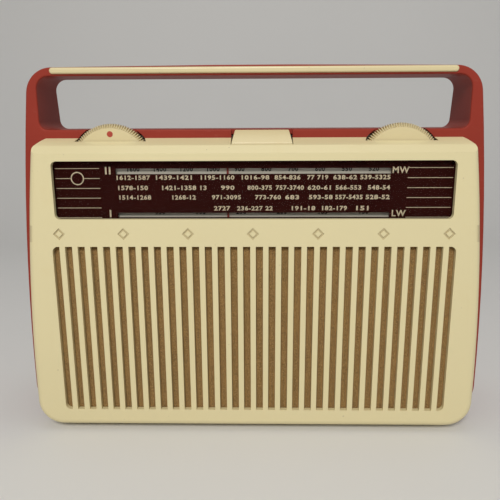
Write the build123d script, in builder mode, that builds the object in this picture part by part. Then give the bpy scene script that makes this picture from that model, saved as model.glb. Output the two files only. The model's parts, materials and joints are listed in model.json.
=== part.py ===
"""Portable transistor radio: red case with a moulded handle, cream front, thumbwheels and waveband key.

Millimetres. X runs to the right, Y to the back and Z up. The origin is on the ground under the middle
of the radio, which stands on its rubber feet. A depth is measured back from the face of the cream front.
"""
import math
import os

from build123d import *

os.makedirs("parts", exist_ok=True)

# ---- overall sizes ---------------------------------------------------------------------------------
overall_width = 227.9        # the red case at its belt line
overall_height = 178.7       # ground to the top of the handle
overall_depth = 66.0         # cream face to the foot of the back
foot_height = 3.0
foot_radius = 5.0
foot_peg_radius = 2.0
top_depth = 37.0             # cream face to the back of the handle

# ---- clearances ------------------------------------------------------------------------------------
running_fit = 0.05           # radial, shaft in bearing
loose_fit = 0.3              # beside anything that turns or slides
layer_gap = 0.2              # between stacked flat pieces

# ---- red case --------------------------------------------------------------------------------------
case_wall = 2.3
case_front = 12.0            # depth at which the red case starts, behind the cream skirt
side_bow = 10.08             # each side draws in this far, belt line to the top
belt_height = 20.5           # widest level above the bottom of the case
case_foot_radius = 17.0
handle_corner_radius = 12.5
handle_bow = 0.8
handle_rise = 28.75          # ledge to the top of the handle
handle_band = 4.6
handle_side = 3.52           # red beside the gap, at the top
handle_gap_top_radius = 6.0
handle_gap_foot_radius = 4.0
heel_radius = 4.0
case_edge = 0.8
floor_trim = 0.5             # the side view cuts the hollow's floor flat this far up
lip_depth = 1.5              # front lip that the cream panel closes against
lip_lap = 1.0                # lip behind the edge of the cream

case_bottom = foot_height
belt_z = case_bottom + belt_height
side_height = overall_height - belt_z
side_radius = (side_height ** 2 + side_bow ** 2) / (2 * side_bow)
handle_gap_width = overall_width - 2 * (side_bow + handle_side)
ledge_top = overall_height - handle_rise
handle_bottom = overall_height - handle_band
cavity_top = ledge_top - case_wall

# ---- cream front panel -----------------------------------------------------------------------------
panel_inset = 4.65           # red that shows beside the cream
panel_bow = 8.33             # draw of each side of the cream, belt line to its top
panel_wall = 2.5
panel_skirt = case_wall
panel_foot_radius = 12.7
panel_top_radius = 8.0
panel_step = 3.95            # ledge above the top of the cream
top_face_rise = 3.0          # slope of the cream top face
bevel_rise = 3.36
bevel_depth = 4.0
edge_radius = 3.4

panel_half = overall_width / 2 - panel_inset
panel_top = ledge_top - panel_step
panel_side_radius = ((panel_top - belt_z) ** 2 + panel_bow ** 2) / (2 * panel_bow)
bevel_top = panel_top - top_face_rise
flat_top = bevel_top - bevel_rise
panel_cavity_top = bevel_top - panel_skirt

# ---- dial ------------------------------------------------------------------------------------------
window_margin = 3.5          # flat cream above the window
window_height = 26.8
window_side = 17.1           # cream beside the window at the belt width
window_radius = 2.3
glass_lap = 1.5              # glass behind the cream, all round
glass_thickness = 1.4
scale_thickness = 0.8
pointer_gap = 1.5            # space for the pointer between scale and number strip
strip_thickness = 0.8
slot_length = 127.2
upper_slot_drop = 3.7        # window top to the upper slot
upper_slot_height = 2.6
lower_slot_height = 2.25
lower_slot_lift = 0.17       # window bottom to the lower slot
pointer_rest = -11.7

window_half = panel_half - window_side
window_top = flat_top - window_margin
window_bottom = window_top - window_height
window_mid = (window_top + window_bottom) / 2
glass_front = panel_wall
scale_front = glass_front + glass_thickness + layer_gap
pointer_front = scale_front + scale_thickness + 0.5
strip_front = scale_front + scale_thickness + pointer_gap

# ---- grille ----------------------------------------------------------------------------------------
slot_count = 32
slot_width = 3.4
slot_foot = 9.15             # cream below the slots
slot_head = 13.05            # cream between slots and window
grille_margin = 14.65        # cream outside the outermost slots at the belt width
outer_slot_radius = 2.6
lozenge_count = 7
lozenge_pitch = 30.3
lozenge_side = 4.0
lozenge_stroke = 0.9
lozenge_groove = 0.6
lozenge_drop = 6.95          # window bottom to the middle of the row of lozenges

grille_width = 2 * (panel_half - grille_margin)
slot_pitch = (grille_width - slot_width) / (slot_count - 1)
slot_bottom = case_bottom + slot_foot
slot_top = window_bottom - slot_head
slot_middle = (slot_bottom + slot_top) / 2

# ---- cloth, baffle and loudspeaker -----------------------------------------------------------------
cloth_thickness = 0.5
baffle_thickness = 2.0
baffle_lap = 3.4             # baffle past the slots
speaker_radius = 44.0
speaker_x = 36.0
cone_radius = 37.0
basket_depth = 18.0
magnet_radius = 16.0
magnet_length = 15.0
coil_radius = 6.8
sheet_metal = 1.0

cloth_front = panel_wall + layer_gap
baffle_front = cloth_front + cloth_thickness + layer_gap
baffle_back = baffle_front + baffle_thickness
speaker_front = baffle_back
basket_back = speaker_front + sheet_metal + basket_depth
magnet_front = basket_back + sheet_metal

# ---- thumbwheels and drive -------------------------------------------------------------------------
wheel_radius = 19.5
volume_x = -66.5
tuning_x = 68.7
wheel_drop = 16.8            # ledge to the wheel's centre
wheel_front = 9.0
wheel_thickness = 6.0
wheel_cone = 1.6
wheel_rim = 2.0              # coned edge, face to rim
dot_radius = 1.4
shaft_radius = 3.0
shaft_nose = 0.5             # shaft end behind the wheel's face
wheel_gap = 0.8              # opening round the wheels

wheel_z = ledge_top - wheel_drop
wheel_face_radius = wheel_radius - wheel_rim
dot_reach = wheel_face_radius - 2.7
wheel_back = wheel_front + wheel_thickness

plate_gap = 3.5              # wheel to chassis plate
plate_thickness = 1.5
plate_front = wheel_back + plate_gap
plate_back = plate_front + plate_thickness

cord_radius = 0.4
cord_depth = wheel_back + 2.0
spool_radius = 12.0
flange_height = 1.2
flange_thickness = 0.5
idler_radius = 3.5
idler_x = 86.0
idler_pin_radius = 1.2
rail_radius = 1.0
rail_depth = 12.0
rail_drop = 5.3              # window bottom to the rail

rail_z = window_bottom - rail_drop
cord_run_z = rail_z + 0.3
idler_z = cord_run_z + idler_radius + loose_fit + cord_radius
groove_half = cord_radius + loose_fit

module = 0.6
pinion_teeth = 14
gear_teeth = 42
gear_thickness = 3.0
backlash = 0.16
gear_front = plate_back + 1.0
capacitor_x = tuning_x - module * (pinion_teeth + gear_teeth) / 2

# ---- waveband key ----------------------------------------------------------------------------------
key_width = 28.0
key_top_width = 25.0
key_x = 4.2
key_front = 5.0
key_back = 14.0
key_slot_gap = 0.35
key_nose_rise = 0.9          # upright nose above the bevel
key_facet_depth = 2.6        # steeper facet, nose to ridge
key_facet_rise = 3.8
key_top_front = 11.4         # depth at which the flat top starts
key_top_drop = 0.35          # flat top below the ledge
key_travel = 2.5
key_arm_half = 4.0
key_foot = panel_cavity_top - 1.5
key_top = ledge_top - key_top_drop
arm_thickness = 4.0
slider_half = 3.0
slider_front = plate_back + 1.5
slider_thickness = 2.0
switch_depth = 6.5
switch_width = 22.0
switch_height = 20.0
switch_top = wheel_z - 2.0
slider_length = 18.0

# ---- inside the case -------------------------------------------------------------------------------
post_radius = 3.0
post_x = 95.3
upper_post_radius = 2.6
upper_post_x = 93.0
screw_radius = 1.25
post_rise = 2.8              # upper posts above the window glass

battery_width = 67.0
battery_height = 61.0
battery_thickness = 22.0
tray_wall = 1.4
tray_gap = 0.5
tray_right = -17.0
tray_floor = case_bottom + 8.4

door_width = 184.0
door_height = 65.0
door_foot = 9.6              # along the back, from the bottom of the case to the door
door_radius = 6.0
door_gap = 0.4
cover_radius = 9.0           # rounder than the opening, so that its corners clear as it swings
door_lip = 3.0
door_edge = 0.99             # rounding of the cover, which turns on its lower edge
coin_screw_radius = 4.0

board_thickness = 1.6
board_left = -95.0
board_right = 30.0
board_depth = 38.0
board_lift = 3.0             # tray to the circuit board
board_top = wheel_z - 0.8

rod_radius = 4.0
rod_depth = 34.5
rod_left = -92.0
rod_right = 30.0
rod_drop = 9.0               # ledge to the ferrite rod
rod_z = ledge_top - rod_drop

tray_top = tray_floor + 2 * tray_wall + battery_height + 2 * tray_gap
board_bottom = tray_top + board_lift


# ---- helpers ---------------------------------------------------------------------------------------
def behind(depth):
    """The upright plane that lies the given depth behind the cream face; it faces the front."""
    return Plane.XZ.offset(overall_depth / 2 - depth)


def bow(half, radius, height):
    """Half width at a height on a side that bows out to its widest at the belt line."""
    return half - (radius - math.sqrt(radius ** 2 - (height - belt_z) ** 2))


def bowed_outline(half, radius, low, high, foot_radius, top_radius, crown=0.0):
    """Front outline with bowed sides, rounded corners and a slightly arched top."""
    middle = (low + high) / 2
    with BuildSketch() as outline:
        with BuildLine():
            Line((-bow(half, radius, low), low), (bow(half, radius, low), low))
            ThreePointArc(
                (bow(half, radius, low), low),
                (bow(half, radius, middle), middle),
                (bow(half, radius, high), high),
            )
            if crown > 0:
                ThreePointArc(
                    (bow(half, radius, high), high),
                    (0, high + crown),
                    (-bow(half, radius, high), high),
                )
            else:
                Line((bow(half, radius, high), high), (-bow(half, radius, high), high))
            ThreePointArc(
                (-bow(half, radius, high), high),
                (-bow(half, radius, middle), middle),
                (-bow(half, radius, low), low),
            )
        make_face()
        fillet(outline.vertices().group_by(Axis.Y)[0], radius=foot_radius)
        fillet(outline.vertices().group_by(Axis.Y)[-1], radius=top_radius)
    return outline.sketch


def involute_point(base, angle, start):
    """A point of the involute of a base circle, turned by a start angle."""
    x = base * (math.cos(angle) + angle * math.sin(angle))
    y = base * (math.sin(angle) - angle * math.cos(angle))
    return (
        x * math.cos(start) - y * math.sin(start),
        x * math.sin(start) + y * math.cos(start),
    )


def gear_outline(teeth, bore, turn):
    """Spur gear with involute flanks and a round bore, centred on the origin and turned by degrees."""
    pitch = module * teeth / 2
    base = pitch * math.cos(math.radians(20))
    tip = pitch + module
    root = pitch - 1.25 * module
    at_pitch = math.sqrt((pitch / base) ** 2 - 1)
    at_tip = math.sqrt((tip / base) ** 2 - 1)
    at_root = math.sqrt(max(root / base, 1.0) ** 2 - 1)
    lead = at_pitch - math.atan(at_pitch)
    half_tooth = math.pi / (2 * teeth) - backlash / (2 * pitch) + lead
    flank_steps = 4
    points = []
    for tooth in range(teeth):
        middle = math.radians(turn) + 2 * math.pi * tooth / teeth
        foot = math.pi / teeth
        points.append((root * math.cos(middle - foot), root * math.sin(middle - foot)))
        points.append((root * math.cos(middle - half_tooth), root * math.sin(middle - half_tooth)))
        for step in range(flank_steps + 1):
            angle = at_root + (at_tip - at_root) * step / flank_steps
            points.append(involute_point(base, angle, middle - half_tooth))
        for step in range(flank_steps, -1, -1):
            angle = at_root + (at_tip - at_root) * step / flank_steps
            x, y = involute_point(base, angle, 0)
            start = middle + half_tooth
            points.append((
                x * math.cos(start) + y * math.sin(start),
                x * math.sin(start) - y * math.cos(start),
            ))
        points.append((root * math.cos(middle + half_tooth), root * math.sin(middle + half_tooth)))
    with BuildSketch() as outline:
        with BuildLine():
            Polyline(*points, close=True)
        make_face()
        Circle(bore, mode=Mode.SUBTRACT)
    return outline.sketch


def save(name, piece):
    """Label one piece and write it to its own file."""
    piece.part.label = name
    export_step(piece.part, "parts/" + name + ".step")


# ---- the slanted back ------------------------------------------------------------------------------
heel_height = 6.0            # the back is upright this far, then leans forward
lean = math.atan2(overall_depth - top_depth, overall_height - case_bottom - heel_height)
back_foot = Vector(0, overall_depth / 2, case_bottom + heel_height)
back_plane = Plane(
    origin=back_foot,
    x_dir=(-1, 0, 0),
    z_dir=(0, math.cos(lean), math.sin(lean)),
)


door_centre = door_foot - heel_height + door_height / 2
screw_spot = door_foot - heel_height + door_height - coin_screw_radius - 2.2


def back_depth(height):
    """Depth of the outside of the back at a height."""
    return overall_depth - max(height - back_foot.Z, 0) * math.tan(lean)


def side_profile(front, shrink, top):
    """Side view of the case in the YZ plane: upright front, slanted back, rounded heel."""
    front_y = front - overall_depth / 2
    rear_y = overall_depth / 2 - shrink
    low = case_bottom + shrink
    heel = back_foot.Z + shrink * math.tan(lean / 2)
    top_y = rear_y - (top - heel) * math.tan(lean)
    radius = max(heel_radius - shrink, 1.0)
    with BuildSketch() as profile:
        with BuildLine():
            Line((front_y, low), (rear_y - radius, low))
            RadiusArc((rear_y - radius, low), (rear_y, low + radius), -radius)
            Line((rear_y, low + radius), (rear_y, heel))
            Line((rear_y, heel), (top_y, top))
            Line((top_y, top), (front_y, top))
            Line((front_y, top), (front_y, low))
        make_face()
    return profile.sketch


# ---- hollow of the case, cut from it below ----------------------------------------------------------
with BuildPart() as case_hollow:
    with BuildSketch(behind(case_front + lip_depth)):
        add(bowed_outline(
            overall_width / 2 - case_wall,
            side_radius,
            case_bottom + case_wall - floor_trim,
            cavity_top,
            case_foot_radius - case_wall,
            panel_top_radius,
        ))
    extrude(amount=-overall_depth)
    with BuildSketch(Plane.YZ):
        add(side_profile(case_front - 2, case_wall, overall_height))
    extrude(amount=overall_width, both=True, mode=Mode.INTERSECT)

# ---- red case with its handle -----------------------------------------------------------------------
foot_spots = [(x, depth) for x in (-68, 68) for depth in (24, 56)]
lug_x = 52.0
lug_depth = 17.0
lug_width = 9.0
lug_height = 4.5
case_screw_head = 2.8
case_screw_cone = 1.8

with BuildPart() as rear_case:
    with BuildSketch(behind(case_front)):
        add(bowed_outline(
            overall_width / 2,
            side_radius,
            case_bottom,
            overall_height - handle_bow,
            case_foot_radius,
            handle_corner_radius,
            handle_bow,
        ))
    extrude(amount=-overall_depth)
    with BuildSketch(Plane.YZ):
        add(side_profile(case_front, 0, overall_height + 1))
    extrude(amount=overall_width, both=True, mode=Mode.INTERSECT)
    with BuildSketch(behind(case_front)) as handle_gap:
        with Locations((0, (ledge_top + handle_bottom) / 2)):
            Rectangle(handle_gap_width, handle_bottom - ledge_top)
        fillet(handle_gap.vertices().group_by(Axis.Y)[0], radius=handle_gap_foot_radius)
        fillet(handle_gap.vertices().group_by(Axis.Y)[-1], radius=handle_gap_top_radius)
    extrude(amount=-overall_depth, mode=Mode.SUBTRACT)
    fillet(rear_case.faces().sort_by(Axis.Y)[0].edges(), radius=case_edge)
    add(case_hollow.part, mode=Mode.SUBTRACT)
    with BuildSketch(behind(case_front - 1)):
        add(bowed_outline(
            panel_half - lip_lap,
            panel_side_radius,
            case_bottom + case_wall,
            panel_top - lip_lap,
            panel_foot_radius - lip_lap,
            panel_top_radius - lip_lap,
        ))
    extrude(amount=-(lip_depth + 2), mode=Mode.SUBTRACT)
    with BuildSketch(behind(case_front - 1)):
        with Locations((volume_x, wheel_z), (tuning_x, wheel_z)):
            Circle(wheel_radius + wheel_gap)
    extrude(amount=-(wheel_back + loose_fit * 2 - case_front + 1), mode=Mode.SUBTRACT)
    with BuildSketch(behind(case_front - 1)):
        with Locations((key_x, ledge_top)):
            Rectangle(key_width + 2 * key_slot_gap, 2 * (ledge_top - panel_top + lip_lap) + 1)
    extrude(amount=-(key_back + key_slot_gap - case_front + 1), mode=Mode.SUBTRACT)
    with BuildSketch(back_plane):
        with Locations((0, door_centre)):
            RectangleRounded(door_width, door_height, door_radius)
    extrude(amount=-case_wall * 2, mode=Mode.SUBTRACT)
    with BuildSketch(back_plane.offset(-case_wall / 2)):
        with Locations((0, door_centre + (door_height + lug_width) / 2)):
            Rectangle(lug_width, lug_width)
    extrude(amount=-(case_wall / 2 + 2.0))
    with BuildSketch(back_plane.offset(-case_wall)):
        with Locations((0, (screw_spot - lug_width / 2 + door_centre + door_height / 2 + lug_width) / 2)):
            Rectangle(lug_width, door_centre + door_height / 2 + lug_width * 1.5 - screw_spot)
    extrude(amount=-2.0)
    with BuildSketch(back_plane):
        with Locations((0, screw_spot)):
            Circle(screw_radius + 0.7)
    extrude(amount=-12, mode=Mode.SUBTRACT)
    with BuildSketch(Plane.XY.offset(case_bottom)):
        with Locations(*[(x, depth - overall_depth / 2) for x, depth in foot_spots]):
            Circle(foot_peg_radius)
        with Locations(*[(x, lug_depth - overall_depth / 2) for x in (-lug_x, lug_x)]):
            Circle(screw_radius)
    extrude(amount=case_wall, mode=Mode.SUBTRACT)
    with Locations(*[
        (x, lug_depth - overall_depth / 2, case_bottom + case_screw_cone / 2) for x in (-lug_x, lug_x)
    ]):
        Cone(case_screw_head, screw_radius, case_screw_cone, mode=Mode.SUBTRACT)
save("rear_case", rear_case)

# ---- rubber feet and case screws --------------------------------------------------------------------
with BuildPart() as rubber_feet:
    with BuildSketch(Plane.XY):
        with Locations(*[(x, depth - overall_depth / 2) for x, depth in foot_spots]):
            Circle(foot_radius)
    extrude(amount=foot_height)
    chamfer(rubber_feet.faces().sort_by(Axis.Z)[:4].edges(), length=0.8)
    with BuildSketch(Plane.XY.offset(foot_height)):
        with Locations(*[(x, depth - overall_depth / 2) for x, depth in foot_spots]):
            Circle(foot_peg_radius)
    extrude(amount=case_wall)
save("rubber_feet", rubber_feet)

case_screw_length = 7.5
with BuildPart() as case_screws:
    with Locations(*[
        (x, lug_depth - overall_depth / 2, case_bottom + case_screw_cone / 2) for x in (-lug_x, lug_x)
    ]):
        Cone(case_screw_head, screw_radius, case_screw_cone)
    with BuildSketch(Plane.XY.offset(case_bottom + case_screw_cone)):
        with Locations(*[(x, lug_depth - overall_depth / 2) for x in (-lug_x, lug_x)]):
            Circle(screw_radius)
    extrude(amount=case_screw_length - case_screw_cone)
    with BuildSketch(Plane.XY.offset(case_bottom)):
        with Locations(*[(x, lug_depth - overall_depth / 2) for x in (-lug_x, lug_x)]):
            Rectangle(3.0, 0.7)
    extrude(amount=0.8, mode=Mode.SUBTRACT)
save("case_screws", case_screws)

# ---- cream front panel ------------------------------------------------------------------------------
lug_front = baffle_back + layer_gap
lug_back = lug_depth + 4
lower_posts = [(-post_x, rail_z), (post_x, rail_z)]
upper_post_z = window_top + glass_lap + post_rise
upper_posts = [(-upper_post_x, upper_post_z), (upper_post_x, upper_post_z)]

with BuildPart() as front_panel:
    with BuildSketch(behind(0)):
        add(bowed_outline(
            panel_half,
            panel_side_radius,
            case_bottom,
            panel_top + 1,
            panel_foot_radius,
            panel_top_radius,
        ))
    extrude(amount=-case_front)
    fillet(front_panel.faces().sort_by(Axis.Y)[0].edges(), radius=edge_radius)
    with BuildSketch(Plane.YZ) as panel_side:
        front_y = -overall_depth / 2
        with BuildLine():
            Polyline(
                (front_y, case_bottom),
                (front_y, flat_top),
                (front_y + bevel_depth, bevel_top),
                (front_y + case_front, panel_top),
                (front_y + case_front, case_bottom),
                close=True,
            )
        make_face()
    extrude(amount=overall_width, both=True, mode=Mode.INTERSECT)
    with BuildSketch(behind(panel_wall)):
        add(bowed_outline(
            panel_half - panel_skirt,
            panel_side_radius,
            case_bottom + panel_skirt,
            panel_cavity_top,
            panel_foot_radius - panel_skirt,
            panel_top_radius - panel_skirt,
        ))
    extrude(amount=-case_front, mode=Mode.SUBTRACT)
    with BuildSketch(behind(0)):
        with Locations((0, window_mid)):
            RectangleRounded(2 * window_half, window_height, window_radius)
    extrude(amount=-panel_wall, mode=Mode.SUBTRACT)
    with BuildSketch(behind(0)) as slots:
        with Locations((0, slot_middle)):
            with GridLocations(slot_pitch, 1, slot_count, 1):
                Rectangle(slot_width, slot_top - slot_bottom)
        fillet(slots.vertices().sort_by(Axis.X)[:2], radius=outer_slot_radius)
        fillet(slots.vertices().sort_by(Axis.X)[-2:], radius=outer_slot_radius)
    extrude(amount=-panel_wall, mode=Mode.SUBTRACT)
    with BuildSketch(behind(0)):
        with Locations((0, window_bottom - lozenge_drop)):
            with GridLocations(lozenge_pitch, 1, lozenge_count, 1):
                Rectangle(lozenge_side, lozenge_side, rotation=45)
                Rectangle(
                    lozenge_side - 2 * lozenge_stroke,
                    lozenge_side - 2 * lozenge_stroke,
                    rotation=45,
                    mode=Mode.SUBTRACT,
                )
    extrude(amount=-lozenge_groove, mode=Mode.SUBTRACT)
    with BuildSketch(behind(wheel_front - loose_fit * 2)):
        with Locations((volume_x, wheel_z), (tuning_x, wheel_z)):
            Circle(wheel_radius + wheel_gap)
    extrude(amount=-case_front, mode=Mode.SUBTRACT)
    with BuildSketch(behind(key_front - key_slot_gap)):
        with Locations((key_x, panel_top)):
            Rectangle(key_width + 2 * key_slot_gap, 2 * (panel_top - panel_cavity_top) + 1)
    extrude(amount=-case_front, mode=Mode.SUBTRACT)
    with BuildSketch(behind(panel_wall)):
        with Locations(*lower_posts):
            Circle(post_radius)
    extrude(amount=-(plate_front - panel_wall))
    with BuildSketch(behind(bevel_depth + 1)):
        with Locations(*upper_posts):
            Circle(upper_post_radius)
    extrude(amount=-(plate_front - bevel_depth - 1))
    with BuildSketch(behind(plate_front)):
        with Locations(*lower_posts, *upper_posts):
            Circle(screw_radius)
    extrude(amount=6, mode=Mode.SUBTRACT)
    with BuildSketch(Plane.YZ.offset(-post_x)):
        with Locations((rail_depth - overall_depth / 2, rail_z)):
            Circle(rail_radius)
    extrude(amount=2 * post_x, mode=Mode.SUBTRACT)
    with BuildSketch(Plane.XY.offset(case_bottom + case_wall)):
        with Locations(*[(x, (lug_front + lug_back) / 2 - overall_depth / 2) for x in (-lug_x, lug_x)]):
            Rectangle(lug_width, lug_back - lug_front)
    extrude(amount=lug_height)
    with BuildSketch(Plane.XY.offset(case_bottom + case_wall)):
        with Locations(*[(x, lug_depth - overall_depth / 2) for x in (-lug_x, lug_x)]):
            Circle(screw_radius)
    extrude(amount=lug_height, mode=Mode.SUBTRACT)
save("front_panel", front_panel)

# ---- cream strip in the front of the handle ---------------------------------------------------------
strip_inset = 6.85           # gap's end to the end of the strip
strip_length = handle_gap_width - 2 * strip_inset
strip_height = 2.9
strip_proud = 1.1
strip_drop = 2.25            # top of the handle to the middle of the strip
with BuildPart() as handle_strip:
    with BuildSketch(behind(case_front)):
        with Locations((0, overall_height - strip_drop)):
            SlotOverall(strip_length, strip_height)
    extrude(amount=strip_proud)
    fillet(handle_strip.faces().sort_by(Axis.Y)[0].edges(), radius=1.0)
save("handle_strip", handle_strip)

# ---- dial: glass, scale plate, number strip ---------------------------------------------------------
with BuildPart() as dial_glass:
    with BuildSketch(behind(glass_front)):
        with Locations((0, window_mid)):
            Rectangle(2 * (window_half + glass_lap), window_height + 2 * glass_lap)
    extrude(amount=-glass_thickness)
save("dial_glass", dial_glass)

upper_slot_z = window_top - upper_slot_drop - upper_slot_height / 2
lower_slot_z = window_bottom + lower_slot_lift + lower_slot_height / 2
with BuildPart() as scale_plate:
    with BuildSketch(behind(scale_front)):
        with Locations((0, window_mid)):
            Rectangle(2 * (window_half + glass_lap), window_height + 2 * glass_lap)
        with Locations((0, upper_slot_z)):
            Rectangle(slot_length, upper_slot_height, mode=Mode.SUBTRACT)
        with Locations((0, lower_slot_z)):
            Rectangle(slot_length, lower_slot_height, mode=Mode.SUBTRACT)
    extrude(amount=-scale_thickness)
save("scale_plate", scale_plate)

with BuildPart() as number_strip:
    with BuildSketch(behind(strip_front)):
        with Locations((0, window_mid)):
            Rectangle(slot_length + 18, window_height)
    extrude(amount=-strip_thickness)
    with BuildSketch(behind(strip_front)):
        with Locations((-slot_length / 2 - 6.5, window_mid), (slot_length / 2 + 6.5, window_mid)):
            Rectangle(4, window_height)
    extrude(amount=pointer_gap)
save("number_strip", number_strip)

# ---- pointer on its rail ----------------------------------------------------------------------------
pointer_width = 1.0
carriage_width = 8.0
carriage_height = 4.4
with BuildPart() as pointer:
    with BuildSketch(behind(pointer_front)):
        with Locations((pointer_rest, (rail_z + window_top - 2) / 2)):
            Rectangle(pointer_width, window_top - 2 - rail_z)
    extrude(amount=-0.6)
    with BuildSketch(behind(pointer_front)):
        with Locations((pointer_rest, rail_z)):
            Rectangle(3, 2)
    extrude(amount=-(rail_depth - pointer_front))
    with BuildSketch(behind(rail_depth - 2)):
        with Locations((pointer_rest, rail_z)):
            Rectangle(carriage_width, carriage_height)
    extrude(amount=-(cord_depth + 1 - rail_depth + 2))
    with BuildSketch(Plane.YZ.offset(pointer_rest - carriage_width)):
        with Locations((rail_depth - overall_depth / 2, rail_z)):
            Circle(rail_radius + running_fit)
        with Locations((cord_depth - overall_depth / 2, cord_run_z)):
            Circle(cord_radius + loose_fit)
    extrude(amount=2 * carriage_width, mode=Mode.SUBTRACT)
save("pointer", pointer)

with BuildPart() as pointer_rail:
    with BuildSketch(Plane.YZ.offset(-post_x)):
        with Locations((rail_depth - overall_depth / 2, rail_z)):
            Circle(rail_radius)
    extrude(amount=2 * post_x)
save("pointer_rail", pointer_rail)


# ---- thumbwheels ------------------------------------------------------------------------------------
def thumbwheel(x):
    """Flat-faced wheel with a coned edge on both sides, on its shaft's axis."""
    face = wheel_front - overall_depth / 2
    back = wheel_back - overall_depth / 2
    with BuildPart() as wheel:
        with BuildSketch(Plane.XY.offset(wheel_z)):
            with Locations((x, 0)):
                with BuildLine():
                    Polyline(
                        (x + shaft_radius, face),
                        (x + wheel_face_radius, face),
                        (x + wheel_radius, face + wheel_cone),
                        (x + wheel_radius, back - wheel_cone),
                        (x + wheel_face_radius, back),
                        (x + shaft_radius, back),
                        close=True,
                    )
            make_face()
        revolve(axis=Axis((x, 0, wheel_z), (0, 1, 0)))
    return wheel


tuning_wheel = thumbwheel(tuning_x)
save("tuning_wheel", tuning_wheel)

dot_recess = 0.5
plain_wheel = thumbwheel(volume_x)
with BuildPart() as volume_wheel:
    add(plain_wheel.part)
    with BuildSketch(behind(wheel_front)):
        with Locations((volume_x, wheel_z + dot_reach)):
            Circle(dot_radius)
    extrude(amount=-dot_recess, mode=Mode.SUBTRACT)
save("volume_wheel", volume_wheel)

with BuildPart() as volume_dot:
    with BuildSketch(behind(wheel_front + 0.2)):
        with Locations((volume_x, wheel_z + dot_reach)):
            Circle(dot_radius)
    extrude(amount=-(dot_recess - 0.2))
save("volume_dot", volume_dot)

# ---- volume shaft and potentiometer -----------------------------------------------------------------
pot_radius = 11.0
pot_depth = 9.0
bush_radius = 4.5
with BuildPart() as volume_shaft:
    with BuildSketch(behind(wheel_front + shaft_nose)):
        with Locations((volume_x, wheel_z)):
            Circle(shaft_radius)
    extrude(amount=-(plate_back + pot_depth - 2 - wheel_front - shaft_nose))
save("volume_shaft", volume_shaft)

with BuildPart() as volume_control:
    with BuildSketch(behind(plate_back)):
        with Locations((volume_x, wheel_z)):
            Circle(pot_radius)
    extrude(amount=-pot_depth)
    with BuildSketch(behind(wheel_back + loose_fit * 2)):
        with Locations((volume_x, wheel_z)):
            Circle(bush_radius)
    extrude(amount=-(plate_back - wheel_back - loose_fit * 2))
    with BuildSketch(behind(wheel_back)):
        with Locations((volume_x, wheel_z)):
            Circle(shaft_radius + running_fit)
    extrude(amount=-(plate_back + pot_depth - 1.5 - wheel_back), mode=Mode.SUBTRACT)
    with BuildSketch(behind(plate_back + 2)):
        with Locations((volume_x, wheel_z - pot_radius - 1)):
            with GridLocations(5, 1, 3, 1):
                Rectangle(2, 5)
    extrude(amount=-0.6)
save("volume_control", volume_control)

# ---- tuning shaft, bearing, spool and pinion --------------------------------------------------------
with BuildPart() as tuning_shaft:
    with BuildSketch(behind(wheel_front + shaft_nose)):
        with Locations((tuning_x, wheel_z)):
            Circle(shaft_radius)
    extrude(amount=-(gear_front + gear_thickness + 0.5 - wheel_front - shaft_nose))
save("tuning_shaft", tuning_shaft)

with BuildPart() as tuning_bearing:
    with BuildSketch(behind(plate_front - 0.1)):
        with Locations((tuning_x, wheel_z)):
            Circle(bush_radius)
            Circle(shaft_radius + running_fit, mode=Mode.SUBTRACT)
    extrude(amount=-(plate_thickness + 0.5))
save("tuning_bearing", tuning_bearing)

with BuildPart() as cord_spool:
    with BuildSketch(behind(cord_depth - groove_half - flange_thickness)):
        with Locations((tuning_x, wheel_z)):
            Circle(spool_radius + flange_height)
    extrude(amount=-2 * (groove_half + flange_thickness))
    with BuildSketch(behind(cord_depth - groove_half)):
        with Locations((tuning_x, wheel_z)):
            Circle(spool_radius + flange_height)
            Circle(spool_radius, mode=Mode.SUBTRACT)
    extrude(amount=-2 * groove_half, mode=Mode.SUBTRACT)
    with BuildSketch(behind(wheel_back)):
        with Locations((tuning_x, wheel_z)):
            Circle(shaft_radius)
    extrude(amount=-plate_gap, mode=Mode.SUBTRACT)
save("cord_spool", cord_spool)

with BuildPart() as drive_pinion:
    with BuildSketch(behind(gear_front)):
        with Locations((tuning_x, wheel_z)):
            add(gear_outline(pinion_teeth, shaft_radius, 0))
    extrude(amount=-gear_thickness)
save("drive_pinion", drive_pinion)


# ---- cord idlers and the dial cord ------------------------------------------------------------------
def idler(x):
    """Small grooved pulley."""
    with BuildPart() as pulley:
        with BuildSketch(behind(cord_depth - groove_half - flange_thickness)):
            with Locations((x, idler_z)):
                Circle(idler_radius + flange_height)
        extrude(amount=-2 * (groove_half + flange_thickness))
        with BuildSketch(behind(cord_depth - groove_half)):
            with Locations((x, idler_z)):
                Circle(idler_radius + flange_height)
                Circle(idler_radius, mode=Mode.SUBTRACT)
        extrude(amount=-2 * groove_half, mode=Mode.SUBTRACT)
        with BuildSketch(behind(wheel_back)):
            with Locations((x, idler_z)):
                Circle(idler_pin_radius + running_fit)
        extrude(amount=-plate_gap, mode=Mode.SUBTRACT)
    return pulley


left_idler = idler(-idler_x)
save("left_idler", left_idler)
right_idler = idler(idler_x)
save("right_idler", right_idler)

idler_face = cord_depth - groove_half - flange_thickness - 0.3
with BuildPart() as idler_pins:
    with BuildSketch(behind(idler_face)):
        with Locations((-idler_x, idler_z), (idler_x, idler_z)):
            Circle(idler_pin_radius)
    extrude(amount=-(plate_back - idler_face))
    with BuildSketch(behind(idler_face)):
        with Locations((-idler_x, idler_z), (idler_x, idler_z)):
            Circle(2.2)
    extrude(amount=0.6)
save("idler_pins", idler_pins)



def belt_side(start, end):
    """Angle, seen from both centres, at which a belt leaves one pulley and meets the next."""
    (x0, z0, r0), (x1, z1, r1) = start, end
    span = math.hypot(x1 - x0, z1 - z0)
    return math.atan2(z1 - z0, x1 - x0) - math.acos((r0 - r1) / span)


def on_pulley(pulley, angle):
    """Point on a pulley's cord circle."""
    x, z, radius = pulley
    return (x + radius * math.cos(angle), z + radius * math.sin(angle))


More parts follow.
